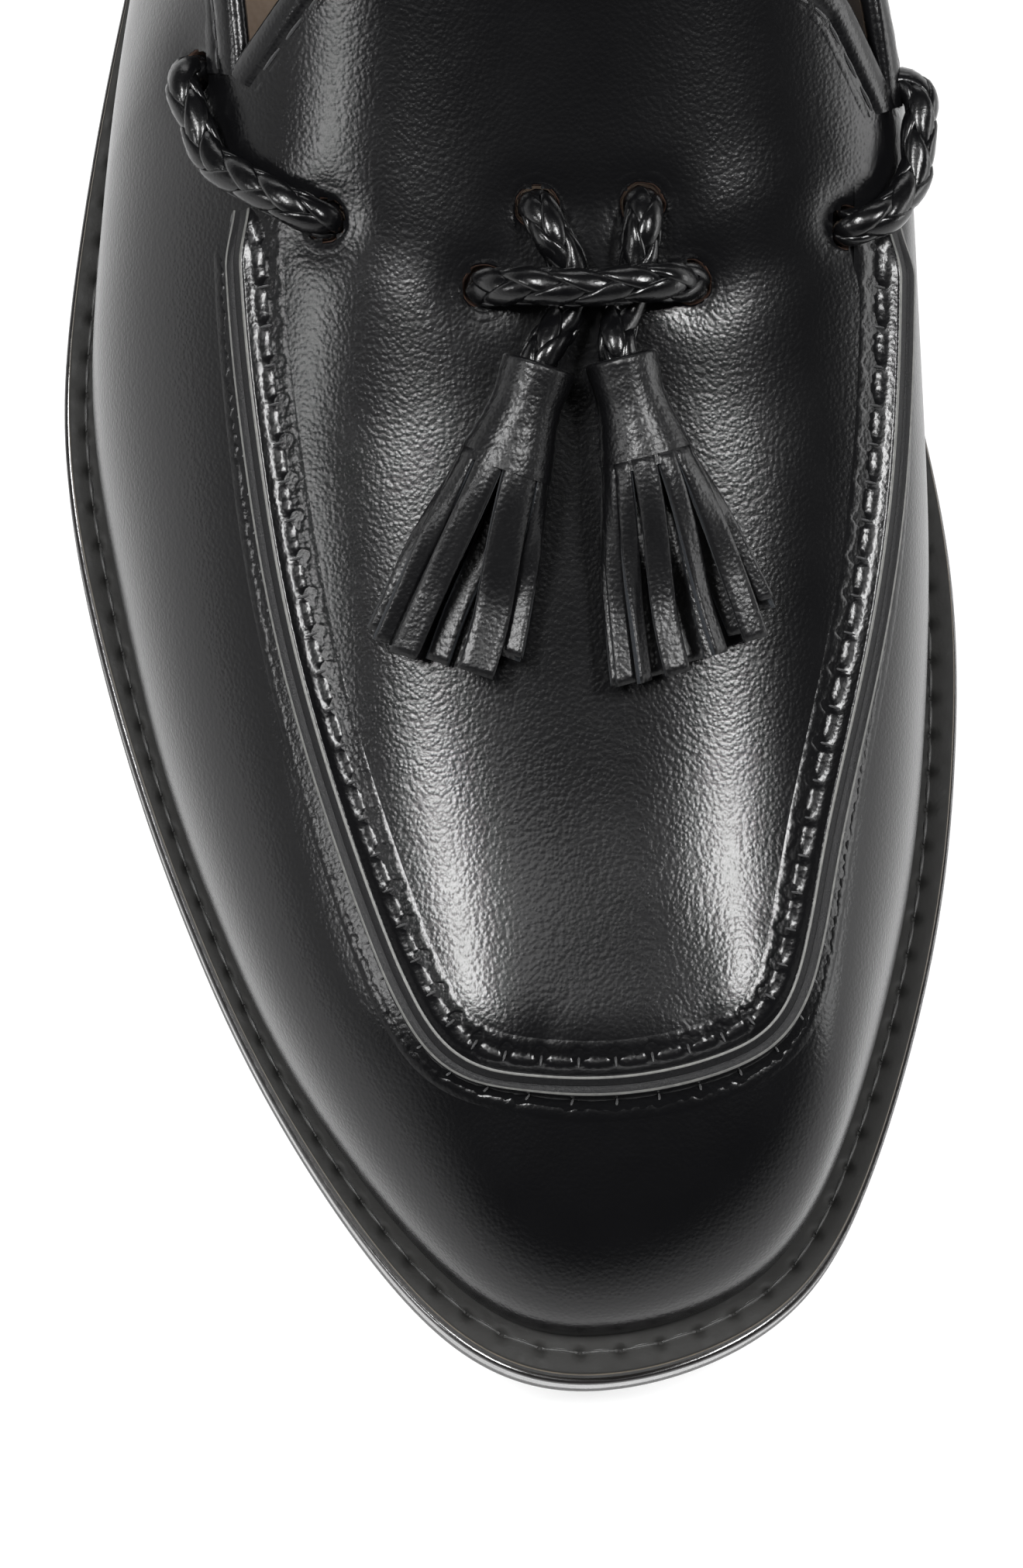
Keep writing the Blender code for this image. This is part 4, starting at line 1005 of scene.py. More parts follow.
def make_floor():
    half = FLOOR_SIZE / 2
    mesh = bpy.data.meshes.new("floor")
    corners = [(-half, -half, 0.0), (half, -half, 0.0), (half, half, 0.0), (-half, half, 0.0)]
    mesh.from_pydata(corners, [], [(0, 1, 2, 3)])
    material = new_material("studio_floor", FLOOR_COLOR, 0.8, specular=0.1)
    shader = material.node_tree.nodes["Principled BSDF"]
    shader.inputs["Emission Color"].default_value = (1.0, 1.0, 1.0, 1.0)
    shader.inputs["Emission Strength"].default_value = FLOOR_GLOW
    floor = new_object("floor", mesh, [material])


def make_lights():
    aim = Vector(LIGHT_AIM)
    for light in SOFT_LIGHTS:
        data = bpy.data.lights.new(light.name, "AREA")
        data.shape = "RECTANGLE"
        data.size, data.size_y = light.width, light.height
        data.energy = light.power
        lamp = bpy.data.objects.new(light.name, data)
        lamp.location = light.place
        lamp.visible_camera = False
        lamp.rotation_euler = (aim - lamp.location).to_track_quat("-Z", "Y").to_euler()
        bpy.context.scene.collection.objects.link(lamp)


def make_sky():
    """A pale studio all round that is dark overhead, shown without a film curve."""
    bpy.context.scene.view_settings.view_transform = "Standard"
    world = bpy.data.worlds.new("studio")
    bpy.context.scene.world = world
    world.use_nodes = True
    coordinates = add_node(world, "ShaderNodeTexCoord")
    parts = add_node(world, "ShaderNodeSeparateXYZ", {"Vector": coordinates.outputs["Generated"]})
    reach = add_node(world, "ShaderNodeMapRange", {
        "Value": parts.outputs["Z"], "From Min": SKY_FADE[0], "From Max": SKY_FADE[1],
        "To Min": SKY_LOW, "To Max": SKY_HIGH}, interpolation_type="SMOOTHSTEP")
    background = world.node_tree.nodes["Background"]
    background.inputs["Color"].default_value = (1.0, 1.0, 1.0, 1.0)
    world.node_tree.links.new(reach.outputs["Result"], background.inputs["Strength"])


# The plaited lace

def route_through(points, normals):
    """Even steps on a smooth curve through the route's own points, with leather normals."""
    points, normals = np.array(points), np.array(normals)
    ends = with_ends(points)
    shares = np.linspace(0.0, 1.0, ROUTE_SAMPLES)
    fine = [points[:1]]
    facing = [normals[:1]]
    for i in range(len(points) - 1):
        fine.append(np.array([catmull(*ends[i:i + 4], t) for t in shares[1:]]))
        facing.append(np.array([normals[i] * (1 - t) + normals[i + 1] * t for t in shares[1:]]))
    fine, facing = np.concatenate(fine), np.concatenate(facing)
    lengths = lengths_along(fine)
    even = np.linspace(0.0, lengths[-1], ceil(lengths[-1] / ROUTE_STEP) + 1)
    return even, read_along(even, lengths, fine), unit(read_along(even, lengths, facing))


def lace_frames(route, facing):
    """Side and up directions along the lace, square to its run."""
    run = unit(np.gradient(route, axis=0))
    side = np.zeros_like(run)
    before = unit(np.cross(run[len(run) // 2], facing[len(run) // 2]))
    for order in (range(len(run) // 2, len(run)), range(len(run) // 2, -1, -1)):
        side_here = before
        for k in order:
            side_here = side_here - run[k] * side_here.dot(run[k])
            side_here = side_here / np.linalg.norm(side_here)
            side[k] = side_here
    return side, np.cross(side, run)


def lobe(start, left, top, lengths, route, side, up):
    """One strand's stretch over the lace: it comes from the edge and dives at the middle."""
    t = np.linspace(0.0, 1.0, LOBE_STATIONS)
    at = np.clip(start + LOBE_LENGTH * t, lengths[0], lengths[-1])
    angle = np.radians(LOBE_FROM + (LOBE_TO - LOBE_FROM) * t)
    if not left:
        angle = pi - angle
    if not top:
        angle = -angle
    bulge = np.sin(pi * np.clip(t * (1 - DIVE_START) + DIVE_START, 0, 1)) ** DIVE_POWER
    inner = 1 - LOBE_THICK / PLAIT_THICK * DIVE_DEPTH * (1 - bulge)
    inner = inner - LOBE_THICK / PLAIT_WIDTH * LOBE_INSET
    centre, across, height = (read_along(at, lengths, line) for line in (route, side, up))
    wide = (np.cos(angle) * PLAIT_WIDTH / 2 * inner)[:, None]
    tall = (np.sin(angle) * PLAIT_THICK / 2 * inner)[:, None]
    middle = centre + across * wide + height * tall
    out = unit(across * np.cos(angle)[:, None] + height * np.sin(angle)[:, None])
    run = unit(np.gradient(middle, axis=0))
    flat = unit(np.cross(run, out))
    out = np.cross(flat, run)
    width = LOBE_WIDTH / 2 * np.sin(pi * (TAPER_START + TAPER_RUN * t)) ** TAPER_POWER
    return tube(middle, flat, out, width, np.full(len(t), LOBE_THICK / 2), LOBE_SIDES)


def plait_patches(points, normals):
    lengths, route, facing = route_through(points, normals)
    side, up = lace_frames(route, facing)
    wide, tall = (np.full(len(route), size / 2 - LOBE_THICK) for size in (PLAIT_WIDTH, PLAIT_THICK))
    patches = [tube(route, side, up, wide, tall, CORE_SIDES)]
    for left in (True, False):
        for top in (True, False):
            start = -LOBE_LENGTH * LOBE_BEFORE + (0 if left == top else LOBE_PITCH / 2)
            while start < lengths[-1] - LOBE_LENGTH * (1 - LOBE_BEFORE):
                patches.append(lobe(start, left, top, lengths, route, side, up))
                start += LOBE_PITCH
    return patches, route


def make_plaits(materials):
    """The three bars of lace."""
    for name, spots in LACE_BARS.items():
        places = [spot_on_leather(spot) for spot in spots]
        patches, _ = plait_patches([p for p, _ in places], [n for _, n in places])
        make_piece(f"lace_plait_{name}", patches, [materials["plait"]],
                   [f"lace_bar_{name}"], caps=True)


def make_strand(tassel, materials):
    """One end of the lace, from its hole into the tassel's head."""
    places = [spot_on_leather(spot) for spot in tassel.strand]
    points, normals = [p for p, _ in places], [n for _, n in places]
    inside = HEAD_BORE_DEPTH - STRAND_SHORT_OF_BORE
    _, _, _, up = tassel_frame(tassel)
    for along in (-STRAND_BEFORE_HEAD, STRAND_BEFORE_HEAD, inside):
        points.append(tassel_point(tassel, along, 0.0, HEAD_DIAMETER / 2, 0.0))
        normals.append(up)
    patches, route = plait_patches(points, normals)
    made = make_piece(f"strand_plait_{tassel.side}", patches, [materials["plait"]],
                      [f"strand_{tassel.side}"], caps=True)


# The tassels

@lru_cache(maxsize=None)
def tassel_frame(tassel):
    """Where a tassel's head starts on the apron, and its own three directions."""
    plan = to_plan(*tassel.top)
    base, normal = on_instep(plan), instep_normal(plan)
    turn = radians(tassel.turn)
    ahead = np.array((sin(turn), -cos(turn), 0.0))
    ahead = unit(ahead - normal * ahead.dot(normal))
    return base, ahead, np.cross(ahead, normal), normal


def tassel_point(tassel, along, across, height, drape):
    """A point of the tassel; drape is how far the leather under it bends it."""
    base, ahead, side, normal = tassel_frame(tassel)
    middle = base + ahead * along
    under = middle + side * across
    drop_here = (instep_height(middle[0], middle[1]) - middle[2]) * normal[2]
    drop_there = (instep_height(under[0], under[1]) - under[2]) * normal[2]
    drop = drop_here * (1 - drape) + drop_there * drape
    return under + normal * (height + LACE_CLEARANCE + drop)


def make_tassel_head(tassel, materials):
    """A strip of leather rolled into a tube, with its lapped edge and open mouth."""
    ring = np.linspace(0.0, tau, HEAD_SIDES, endpoint=False)
    radius = HEAD_DIAMETER / 2
    lap = ((ring - radians(tassel.lap)) % tau) / tau
    lines = [(HEAD_LENGTH * share, HEAD_BORE / 2 + BORE_CLEARANCE, 0.0)
             for share in np.linspace(BORE_SHOWN, 0.0, BORE_RINGS)]
    for turn in np.arange(1, RIM_STEPS) * pi / RIM_STEPS:
        lines.append((HEAD_WALL * -RIM_BULGE * sin(turn), (HEAD_BORE / 2 + HEAD_WALL / 2)
                      - cos(turn) * HEAD_WALL / 2, 0.5 * (1 - cos(turn))))
    for share in np.linspace(0.0, 1.0, HEAD_STATIONS):
        lines.append((HEAD_LENGTH * share, radius - HEAD_WAIST * sin(pi * share), 1.0))
    rings = []
    for along, size, outer in lines:
        points = []
        flare = smooth((along / HEAD_LENGTH - HEAD_FLARES_FROM) / (1 - HEAD_FLARES_FROM))
        flare = flare * (outer == 1.0)
        for angle, over in zip(ring, lap):
            wrinkle = noise.noise(Vector((along * WRINKLES_ALONG, cos(angle) * WRINKLES_ROUND,
                                          sin(angle) * WRINKLES_ROUND + WRINKLE_PLACE)))
            reach = size + outer * (HEAD_WRINKLE * wrinkle + HEAD_LAP * (over - 0.5))
            across = cos(angle) * (reach + HEAD_WIDENS * flare)
            height = radius + sin(angle) * (reach + HEAD_RISES * flare)
            points.append(tassel_point(tassel, along, across, height, 0.0))
        rings.append(points)
    columns = np.zeros((len(lines) - 1, 1), int)
    columns[BORE_RINGS - 1:BORE_RINGS + 1] = 1
    patch = Patch(np.array(rings), columns, around=True)
    return make_piece(f"tassel_head_{tassel.side}", [patch],
                      [materials["tassel"], materials["cut"]], [f"tassel_{tassel.side}"])


def strip_outline(width, bend):
    """A strip's section: (across, over) points round it, bent by bend at its middle."""
    half, thick = width / 2, STRIP_THICK / 2
    flats = np.linspace(STRIP_BEVEL - half, half - STRIP_BEVEL, 5)
    low = [(u, -thick) for u in flats]
    high = [(u, thick) for u in flats[::-1]]
    inset = thick - STRIP_BEVEL
    outline = low + [(half, -inset), (half, inset)] + high + [(-half, inset), (-half, -inset)]
    return [(u, v - bend * (u / half)**2) for u, v in outline]


def strip_patch(tassel, strip, root, seed):
    """One flat strip of the fringe, from the head's rim at its root angle to its cut end."""
    fringe = TASSEL_LENGTH - HEAD_LENGTH
    radius = HEAD_DIAMETER / 2
    inside = STRIP_THICK / 2 + STRIP_SUNK
    lines = []
    for t in np.linspace(STRIP_ROOT, 1.0, STRIP_STATIONS):
        out = max(t, 0.0)
        along = HEAD_LENGTH + fringe * (t * strip.length if t > 0 else t)
        thinned = smooth(out / FRINGE_THIN_AT)
        wide = radius + HEAD_WIDENS - inside
        wide += (tassel.spread - wide) * out**STRIP_FLARE
        tall = radius + HEAD_RISES - inside
        tall += (FRINGE_THICKNESS / 2 - inside - tall) * thinned
        middle = radius + (FRINGE_THICKNESS / 2 - radius) * thinned
        swing = STRIP_SWING * out * noise.noise(Vector((seed, SWING_PLACE, out * SWING_PACE)))
        angle = radians(root + (strip.angle - root) * smooth(out * ANGLE_PACE)) + swing
        lift = noise.noise(Vector((seed, LIFT_PLACE, out * LIFT_PACE)))
        lift = STRIP_LIFT * out * (0.5 + lift)
        across = wide * cos(angle)
        height = middle + tall * sin(angle) + lift
        facing = atan2(sin(angle) * wide, cos(angle) * tall)
        facing += radians(strip.twist) * smooth(out * TWIST_PACE)
        over = np.array((cos(facing), sin(facing)))
        flat = np.array((-sin(facing), cos(facing)))
        bend = (strip.width * MM / 2)**2 / (2 * radius) * (1 - smooth(out * FLAT_PACE))
        points = []
        for u, v in strip_outline(strip.width * MM, bend):
            place = flat * u + over * v
            points.append(tassel_point(tassel, along, across + place[0],
                                       max(height + place[1], STRIP_CLEARANCE), out))
        lines.append(points)
    slots = np.array([0] * 4 + [1, 1, 0] + [0] * 4 + [0, 1, 1])
    return Patch(np.array(lines), slots[None, :], around=True)


def make_tassel_strips(tassel, materials):
    """The fringe. At their roots the strips fill the rim, each as wide as it was cut."""
    strips = FRINGES[tassel.side]
    share = 360 / sum(strip.width for strip in strips)
    patches = []
    edge = -share * strips[0].width / 2
    for number, strip in enumerate(strips):
        root = edge + share * strip.width / 2
        edge += share * strip.width
        seed = number * STRIPS_APART + len(tassel.side)
        patches.append(strip_patch(tassel, strip, root, seed))
    return make_piece(f"tassel_strips_{tassel.side}", patches,
                      [materials["tassel"], materials["cut"]], caps=True)


def make_tassels(materials):
    for tassel in TASSELS:
        head = make_tassel_head(tassel, materials)
        strips = make_tassel_strips(tassel, materials)
        make_strand(tassel, materials)


# The upper

@lru_cache(maxsize=None)
def tongue_outline():
    """The tongue's free edge seen from above, medial notch to lateral, corners rounded."""
    corner_in, corner_out = to_plan(*TONGUE_MEDIAL), to_plan(*TONGUE_LATERAL)
    top = [corner_in] + [to_plan(*edge) for edge in reversed(TONGUE_TOP)] + [corner_out]
    ends = with_ends(top)
    first, last = top_plan(NOTCH_MEDIAL), top_plan(NOTCH_LATERAL)
    points = [first + (corner_in - first) * k / LEG_STEPS for k in range(LEG_STEPS)]
    for k in range(GRID_ACROSS + 1):
        place = k / GRID_ACROSS * (len(top) - 1)
        i = min(int(place), len(top) - 2)
        points.append(catmull(*ends[i:i + 4], place - i))
    points += [corner_out + (last - corner_out) * k / LEG_STEPS for k in range(1, LEG_STEPS + 1)]
    points = np.array(points)
    for _ in range(CORNER_ROUNDING):
        points[1:-1] = (points[:-2] + 2 * points[1:-1] + points[2:]) / 4
    return points


def vamp_grid():
    """Points of the vamp's top between its four sides, tongue first, seen from above."""
    rows = np.arange(NOTCH_LATERAL * STEPS, NOTCH_MEDIAL * STEPS + 1) / STEPS
    seam = np.array([top_plan(row) for row in rows])
    tongue = tongue_outline()
    toe = (TOE_LATERAL - NOTCH_LATERAL) * STEPS
    left = np.concatenate([tongue[-LEG_STEPS - 1:-1], seam[:toe + 1]])
    front = seam[toe:toe + GRID_ACROSS + 1]
    right = np.concatenate([tongue[:LEG_STEPS + 1][::-1][:-1], seam[toe + GRID_ACROSS:][::-1]])
    back = tongue[LEG_STEPS:LEG_STEPS + GRID_ACROSS + 1][::-1]
    s = np.linspace(0, 1, GRID_ACROSS + 1)[None, :, None]
    t = np.linspace(0, 1, GRID_ALONG + 1)[:, None, None]
    sides = left[:, None] * (1 - s) + right[:, None] * s
    ends = back[None] * (1 - t) + front[None] * t
    tops = back[0] * (1 - s) + back[-1] * s
    toes = front[0] * (1 - s) + front[-1] * s
    return sides + ends - (tops * (1 - t) + toes * t)


def hole_places():
    spots = [route[end] for route in LACE_BARS.values() for end in (0, -1)]
    spots += [tassel.strand[0] for tassel in TASSELS]
    return [spot_on_leather(spot._replace(lift=0.0)) for spot in spots]


def crease_depth(points):
    """How far the listed creases sink the leather."""
    sunk = np.zeros(len(points))
    plan = points[:, :2]
    for crease in CREASES:
        start, end = to_plan(*crease.start), to_plan(*crease.end)
        run = end - start
        share = np.clip(((plan - start) @ run) / run.dot(run), 0.0, 1.0)
        off = np.linalg.norm(plan - start - share[:, None] * run, axis=1)
        fade = np.sin(pi * (CREASE_FADE + (1 - 2 * CREASE_FADE) * share))
        sunk += crease.depth * fade * np.exp(-(off / crease.width)**2)
    return sunk


def hole_depth(points):
    sunk = np.zeros(len(points))
    for place, _ in hole_places():
        off = np.linalg.norm(points - place, axis=1)
        sunk += HOLE_DIMPLE * np.exp(-(off / HOLE_DIMPLE_WIDTH)**2)
    return sunk


def unevenness(points):
    return np.array([noise.noise(Vector(point / UNEVEN_SIZE)) for point in points]) * UNEVEN


def near_holes(points, cut):
    """Which of the points lie within this distance of a lace hole's axis."""
    inside = np.zeros(len(points), bool)
    for place, normal in hole_places():
        off = points - place
        along = off @ normal
        radial = np.linalg.norm(off - along[:, None] * normal, axis=1)
        inside |= (radial < cut) & (np.abs(along) < HOLE_REACH)
    return inside


def upper_blank():
    """The upper's mesh and its outer surface: wall and vamp, welded where they meet."""
    columns = []
    for k in range(ROWS * STEPS):
        row = k / STEPS
        lengths, _ = wall_lengths(row)
        down = np.linspace(lengths[-1], 0.0, LEVELS)
        columns.append(on_wall(row, levels_below_top(row, down))[0])
    wall = Patch(np.array(columns), along=True)
    vamp = Patch(on_instep(vamp_grid()))
    verts = wall.points.reshape(-1, 3)
    quads = patch_faces(wall, 0).reshape(-1, 4)
    tops = patch_faces(vamp, len(verts)).reshape(-1, 4)
    verts = np.concatenate([verts, vamp.points.reshape(-1, 3)])
    mesh = bpy.data.meshes.new("upper_leather")
    mesh.from_pydata(verts.tolist(), [], np.concatenate([quads, tops]).tolist())
    bm = bmesh.new()
    bm.from_mesh(mesh)
    bmesh.ops.remove_doubles(bm, verts=bm.verts, dist=WELD)
    bmesh.ops.recalc_face_normals(bm, faces=bm.faces)
    bm.normal_update()
    return mesh, bm


def line_upper(bm):
    """The lining, one wall inside the leather and joined to it along each rim."""
    outer, faces = list(bm.verts), list(bm.faces)
    rims = [edge.link_loops[0] for edge in bm.edges if edge.is_boundary]
    rims = [(loop.vert, loop.link_loop_next.vert) for loop in rims]
    inner = {vert: bm.verts.new(vert.co - vert.normal * WALL) for vert in outer}
    for face in faces:
        made = bm.faces.new([inner[vert] for vert in reversed(face.verts)])
        made.material_index = 1
    for start, end in rims:
        bm.faces.new((end, start, inner[start], inner[end]))


def make_upper(materials):
    """The upper's leather and lining in one wall, open at the collar and underneath."""
    mesh, bm = upper_blank()
    points = np.array([vert.co for vert in bm.verts])
    normals = np.array([vert.normal for vert in bm.verts])
    lift = unevenness(points) - crease_depth(points) - hole_depth(points)
    for vert, place in zip(bm.verts, points + normals * lift[:, None]):
        vert.co = place
    bm.normal_update()
    skin = BVHTree.FromBMesh(bm)
    line_upper(bm)
    centres = np.array([face.calc_center_median() for face in bm.faces])
    holed = near_holes(centres, HOLE_CUT)
    gone = [face for face, inside in zip(bm.faces, holed) if inside]
    bmesh.ops.delete(bm, geom=gone, context="FACES")
    bm.to_mesh(mesh)
    bm.free()
    mesh.shade_smooth()
    made = new_object("upper_leather", mesh, [materials["calf"], materials["lining"]])
    settle(made, ["upper"])
    return skin


def make_hole_rims(skin, materials):
    """The crumpled leather round each lace hole, down into the hole."""
    patches = []
    ring = np.linspace(0.0, tau, RIM_SIDES, endpoint=False)
    for number, (place, normal) in enumerate(hole_places()):
        side = unit(np.cross(normal, HOLE_ASIDE))
        ahead = np.cross(normal, side)
        lines = []
        for point in HOLE_RIM:
            radius, height = point.radius * MM, point.height * MM
            straight = min(height + RIM_STRAIGHT, 0.0)
            line = []
            for angle in ring:
                crumple = noise.noise(Vector((
                    cos(angle) * CRUMPLES_ROUND, sin(angle) * CRUMPLES_ROUND,
                    number * HOLE_APART + radius * CRUMPLES_DOWN)))
                reach = radius * (1 + HOLE_RAGGED * crumple)
                spot = place + (side * cos(angle) + ahead * sin(angle)) * reach
                near, facing, _, _ = skin.find_nearest(Vector(spot))
                lift = height - straight + HOLE_CRUMPLE * crumple * (height > 0)
                line.append(np.array(near) + np.array(facing) * lift + normal * straight)
            lines.append(line)
        slots = np.array([point.slot for point in HOLE_RIM[:-1]])[:, None]
        patches.append(Patch(np.array(lines), slots, around=True))
    make_piece("hole_rims", patches, [materials["calf"], materials["raw"]])


# Seams, bindings and their threads

def across_edge(row, distances):
    """The leather at distances in from the wall's top edge, negative down the wall."""
    distances = np.asarray(distances, float)
    points = np.zeros((len(distances), 3))
    normals = np.zeros((len(distances), 3))
    low = distances < 0
    points[low], normals[low] = on_wall(row, levels_below_top(row, -distances[low]))
    run = top_plan(row + ROW_STEP) - top_plan(row - ROW_STEP)
    inward = unit(np.array((-run[1], run[0])))
    plan = top_plan(row) + distances[~low][:, None] * inward
    points[~low], normals[~low] = on_instep(plan), instep_normal(plan)
    return points, normals


def rows_by_length(line_at, first, last, spacing):
    """Rows at even spacing along a line round the shoe, and their lengths from its start."""
    rows = np.linspace(first, last, ceil((last - first) * ROW_SAMPLES) + 1)
    points = np.array([line_at(row) for row in rows])
    lengths = lengths_along(points)
    count = max(2, round(lengths[-1] / spacing))
    even = np.linspace(0.0, lengths[-1], count + 1)
    return np.interp(even, lengths, rows), even


def stitch_patch(start, end, normal, stitch):
    """One stitch: a short thread that rises from its hole and dives into the next."""
    t = np.linspace(0.0, 1.0, THREAD_STATIONS)
    run = unit(end - start)
    side = np.cross(normal, run)
    rise = stitch.bulge * np.sin(pi * t)
    middle = start + (end - start) * t[:, None] + normal * rise[:, None]
    radius = stitch.width / 2 * np.sqrt(np.sin(pi * (THREAD_DIVE + (1 - 2 * THREAD_DIVE) * t)))
    return tube(middle, side[None], normal[None], radius, radius, THREAD_SIDES)


def inset(here, ahead, stitch):
    """Where a stitch starts and ends between two marks."""
    gap = (ahead - here) * stitch.gap
    return here + gap, ahead - gap


def drawn_in(length, pitch, size):
    """One at each stitch along a seam and zero between, for notches of this length."""
    off = (length + pitch / 2) % pitch - pitch / 2
    return np.exp(-(off / size)**2)


def seam_rows():
    return rows_by_length(top_plan, SEAM_STARTS[0] - SEAM_OVERRUN, SEAM_ENDS[1] + SEAM_OVERRUN,
                          SEAM_SPACING)


def make_apron_seam(materials):
    """The raised seam: two leathers stood up and sewn through, drawn in at each stitch."""
    across, height, notch, gather, slots = np.array(SEAM_SECTION).T
    lines = []
    for row, length in zip(*seam_rows()):
        share = seam_share(row)
        uneven = 0.5 + noise.noise(Vector((length / GATHER_DRIFT, GATHER_PLACE, 0.0)))
        fine = cos(tau * length / GATHER_PITCH + GATHER_SHIFT * uneven) * uneven
        down = notch * drawn_in(length, SEAM_PITCH, NOTCH_LENGTH) + gather * fine
        points, normals = across_edge(row, across * MM)
        rise = ((height - down) * share - SEAM_SUNK * (1 - share)) * MM
        rise[0] = rise[-1] = SEAM_SECTION[0].height * MM
        rise -= crease_depth(points)
        lines.append(points + normals * rise[:, None])
    # Slot 2, the seam's two top edges, takes the pale colour: their cut edges with a painted
    # highlight
    make_piece("apron_seam", [Patch(np.array(lines), slots[:-1].astype(int)[None, :])],
               [materials["calf"], materials["lip"], materials["skived_and_highlight"]])


def make_seam_threads(materials):
    """The stitches that show at the seam's feet: each crosses its own notch."""
    stitches = []
    rows, lengths = seam_rows()
    marks = np.arange(ceil(lengths[0] / SEAM_PITCH), int(lengths[-1] / SEAM_PITCH))
    for row in np.interp(marks * SEAM_PITCH, lengths, rows):
        if seam_share(row) < 1:
            continue
        for foot in SEAM_FEET:
            spots, normals = across_edge(row, [foot.top * MM, foot.bottom * MM])
            rise = np.array([foot.high, foot.low]) * MM - crease_depth(spots)
            raised = spots + normals * rise[:, None]
            stitches.append(stitch_patch(*raised, normals[0], SEAM_STITCH))
    make_piece("seam_threads", stitches, [materials["black_thread"]])


def collar_top(row):
    return on_wall(row, [1.0])[0][0]


def collar_station(row, distances):
    """The quarter's leather at distances down from the collar's edge."""
    return on_wall(row, levels_below_top(row, distances))


def tongue_station(place, distances):
    """The tongue's leather at distances in from its free edge."""
    outline = tongue_outline()
    i = min(int(place), len(outline) - 2)
    t = place - i
    point = outline[i] * (1 - t) + outline[i + 1] * t
    low, high = max(i - 1, 0), min(i + 2, len(outline) - 1)
    run = outline[high] - outline[low]
    inward = unit(np.array((-run[1], run[0])))
    plan = point + np.asarray(distances)[:, None] * inward
    return on_instep(plan), instep_normal(plan)


def binding_patch(station, places, lengths):
    """Leather rolled over the free edge: down the outside, over it and down the lining."""
    down = np.array([point.down for point in BINDING_SECTION]) * MM
    height = np.array([point.height for point in BINDING_SECTION]) * MM
    pucker = np.array([point.pucker for point in BINDING_SECTION]) * MM
    turns = np.linspace(0.0, pi, BINDING_TURNS + 2)[1:-1]
    lines = []
    for place, length in zip(places, lengths):
        drawn = (0.5 + 0.5 * cos(tau * length / BINDING_PITCH))**2
        rise = height - pucker * drawn
        points, normals = station(place, np.concatenate([down, [0.0, BINDING_INWARD]]))
        edge, normal = points[-2], normals[-2]
        beyond = unit(edge - points[-1])
        points, normals = points[:-2], normals[:-2]
        outside = points + normals * rise[:, None]
        middle = edge - normal * WALL / 2
        over = middle + BINDING_HALF * (np.cos(turns)[:, None] * normal
                                        + np.sin(turns)[:, None] * beyond)
        inside = (points - normals * (WALL + height[:, None]))[::-1]
        lines.append(np.concatenate([outside, over, inside]))
    return Patch(np.array(lines), 0)


def make_bindings(materials):
    """The rolled edges of collar and tongue, with their threads."""
    collar_ends = (NOTCH_MEDIAL, ROWS + NOTCH_LATERAL)
    rows, lengths = rows_by_length(collar_top, *collar_ends, BINDING_SPACING)
    collar = binding_patch(collar_station, rows, lengths)
    make_piece("collar_binding", [collar], [materials["calf"]])
    outline = tongue_outline()
    counts = np.arange(len(outline))
    lengths = lengths_along(outline)
    even = np.linspace(0.0, lengths[-1], round(lengths[-1] / BINDING_SPACING) + 1)
    tongue = binding_patch(tongue_station, np.interp(even, lengths, counts), even)
    make_piece("tongue_binding", [tongue], [materials["calf"]])

    outside, inside = [], []
    collar_marks, _ = rows_by_length(collar_top, *collar_ends, BINDING_PITCH)
    tongue_marks = np.interp(np.arange(0.0, lengths[-1], BINDING_PITCH), lengths, counts)
    for station, marks in ((collar_station, collar_marks), (tongue_station, tongue_marks)):
        for here, ahead in zip(marks, marks[1:]):
            first, last = inset(here, ahead, BINDING_STITCH)
            starts, normals = station(first, [BINDING_STITCHED])
            ends, _ = station(last, [BINDING_STITCHED])
            start, end, normal = starts[0], ends[0], normals[0]
            outside.append(stitch_patch(start, end, normal, BINDING_STITCH))
            low = normal * -LINING_STITCHED
            inside.append(stitch_patch(start + low, end + low, -normal, LINING_STITCH))
    make_piece("binding_threads", outside, [materials["black_thread"]])
    make_piece("lining_threads", inside, [materials["beige_thread"]])


def strap_spot(share, level, height):
    """A point of the strap, at a share of its half width, and the leather's normal there."""
    half = (STRAP_FOOT + (STRAP_TOP - STRAP_FOOT) * level) / 2
    points, normals = on_wall(share * half / HEEL_ROW, [level])
    return points[0] + normals[0] * (height * MM), normals[0]


def make_back_strap(materials):
    """A narrow strip sewn over the seam at the heel's back, from collar to welt."""
    lines = []
    for level in np.linspace(0.0, 1.0, STRAP_STATIONS):
        lines.append([strap_spot(point.across, level, point.height)[0] for point in STRAP_SECTION])
    stitches = []
    marks = np.linspace(*STRAP_STITCHED, STRAP_STITCHES + 1)
    for seam in (-STRAP_SEAM, STRAP_SEAM):
        for low, high in zip(marks, marks[1:]):
            first, last = inset(low, high, STRAP_STITCH)
            start, _ = strap_spot(seam, first, STRAP_STITCH_HEIGHT)
            end, normal = strap_spot(seam, last, STRAP_STITCH_HEIGHT)
            stitches.append(stitch_patch(start, end, normal, STRAP_STITCH))
    make_piece("back_strap", [Patch(np.array(lines))], [materials["calf"]])
    make_piece("back_strap_threads", stitches, [materials["black_thread"]])


# Welt, sole and heel

def welt_width(row):
    return round_the_shoe("edge", row) * WELT_MARGIN - WELT_SETBACK


def stitch_line(row):
    return outline_point(row, welt_width(row) * WELT_STITCH_SHARE)


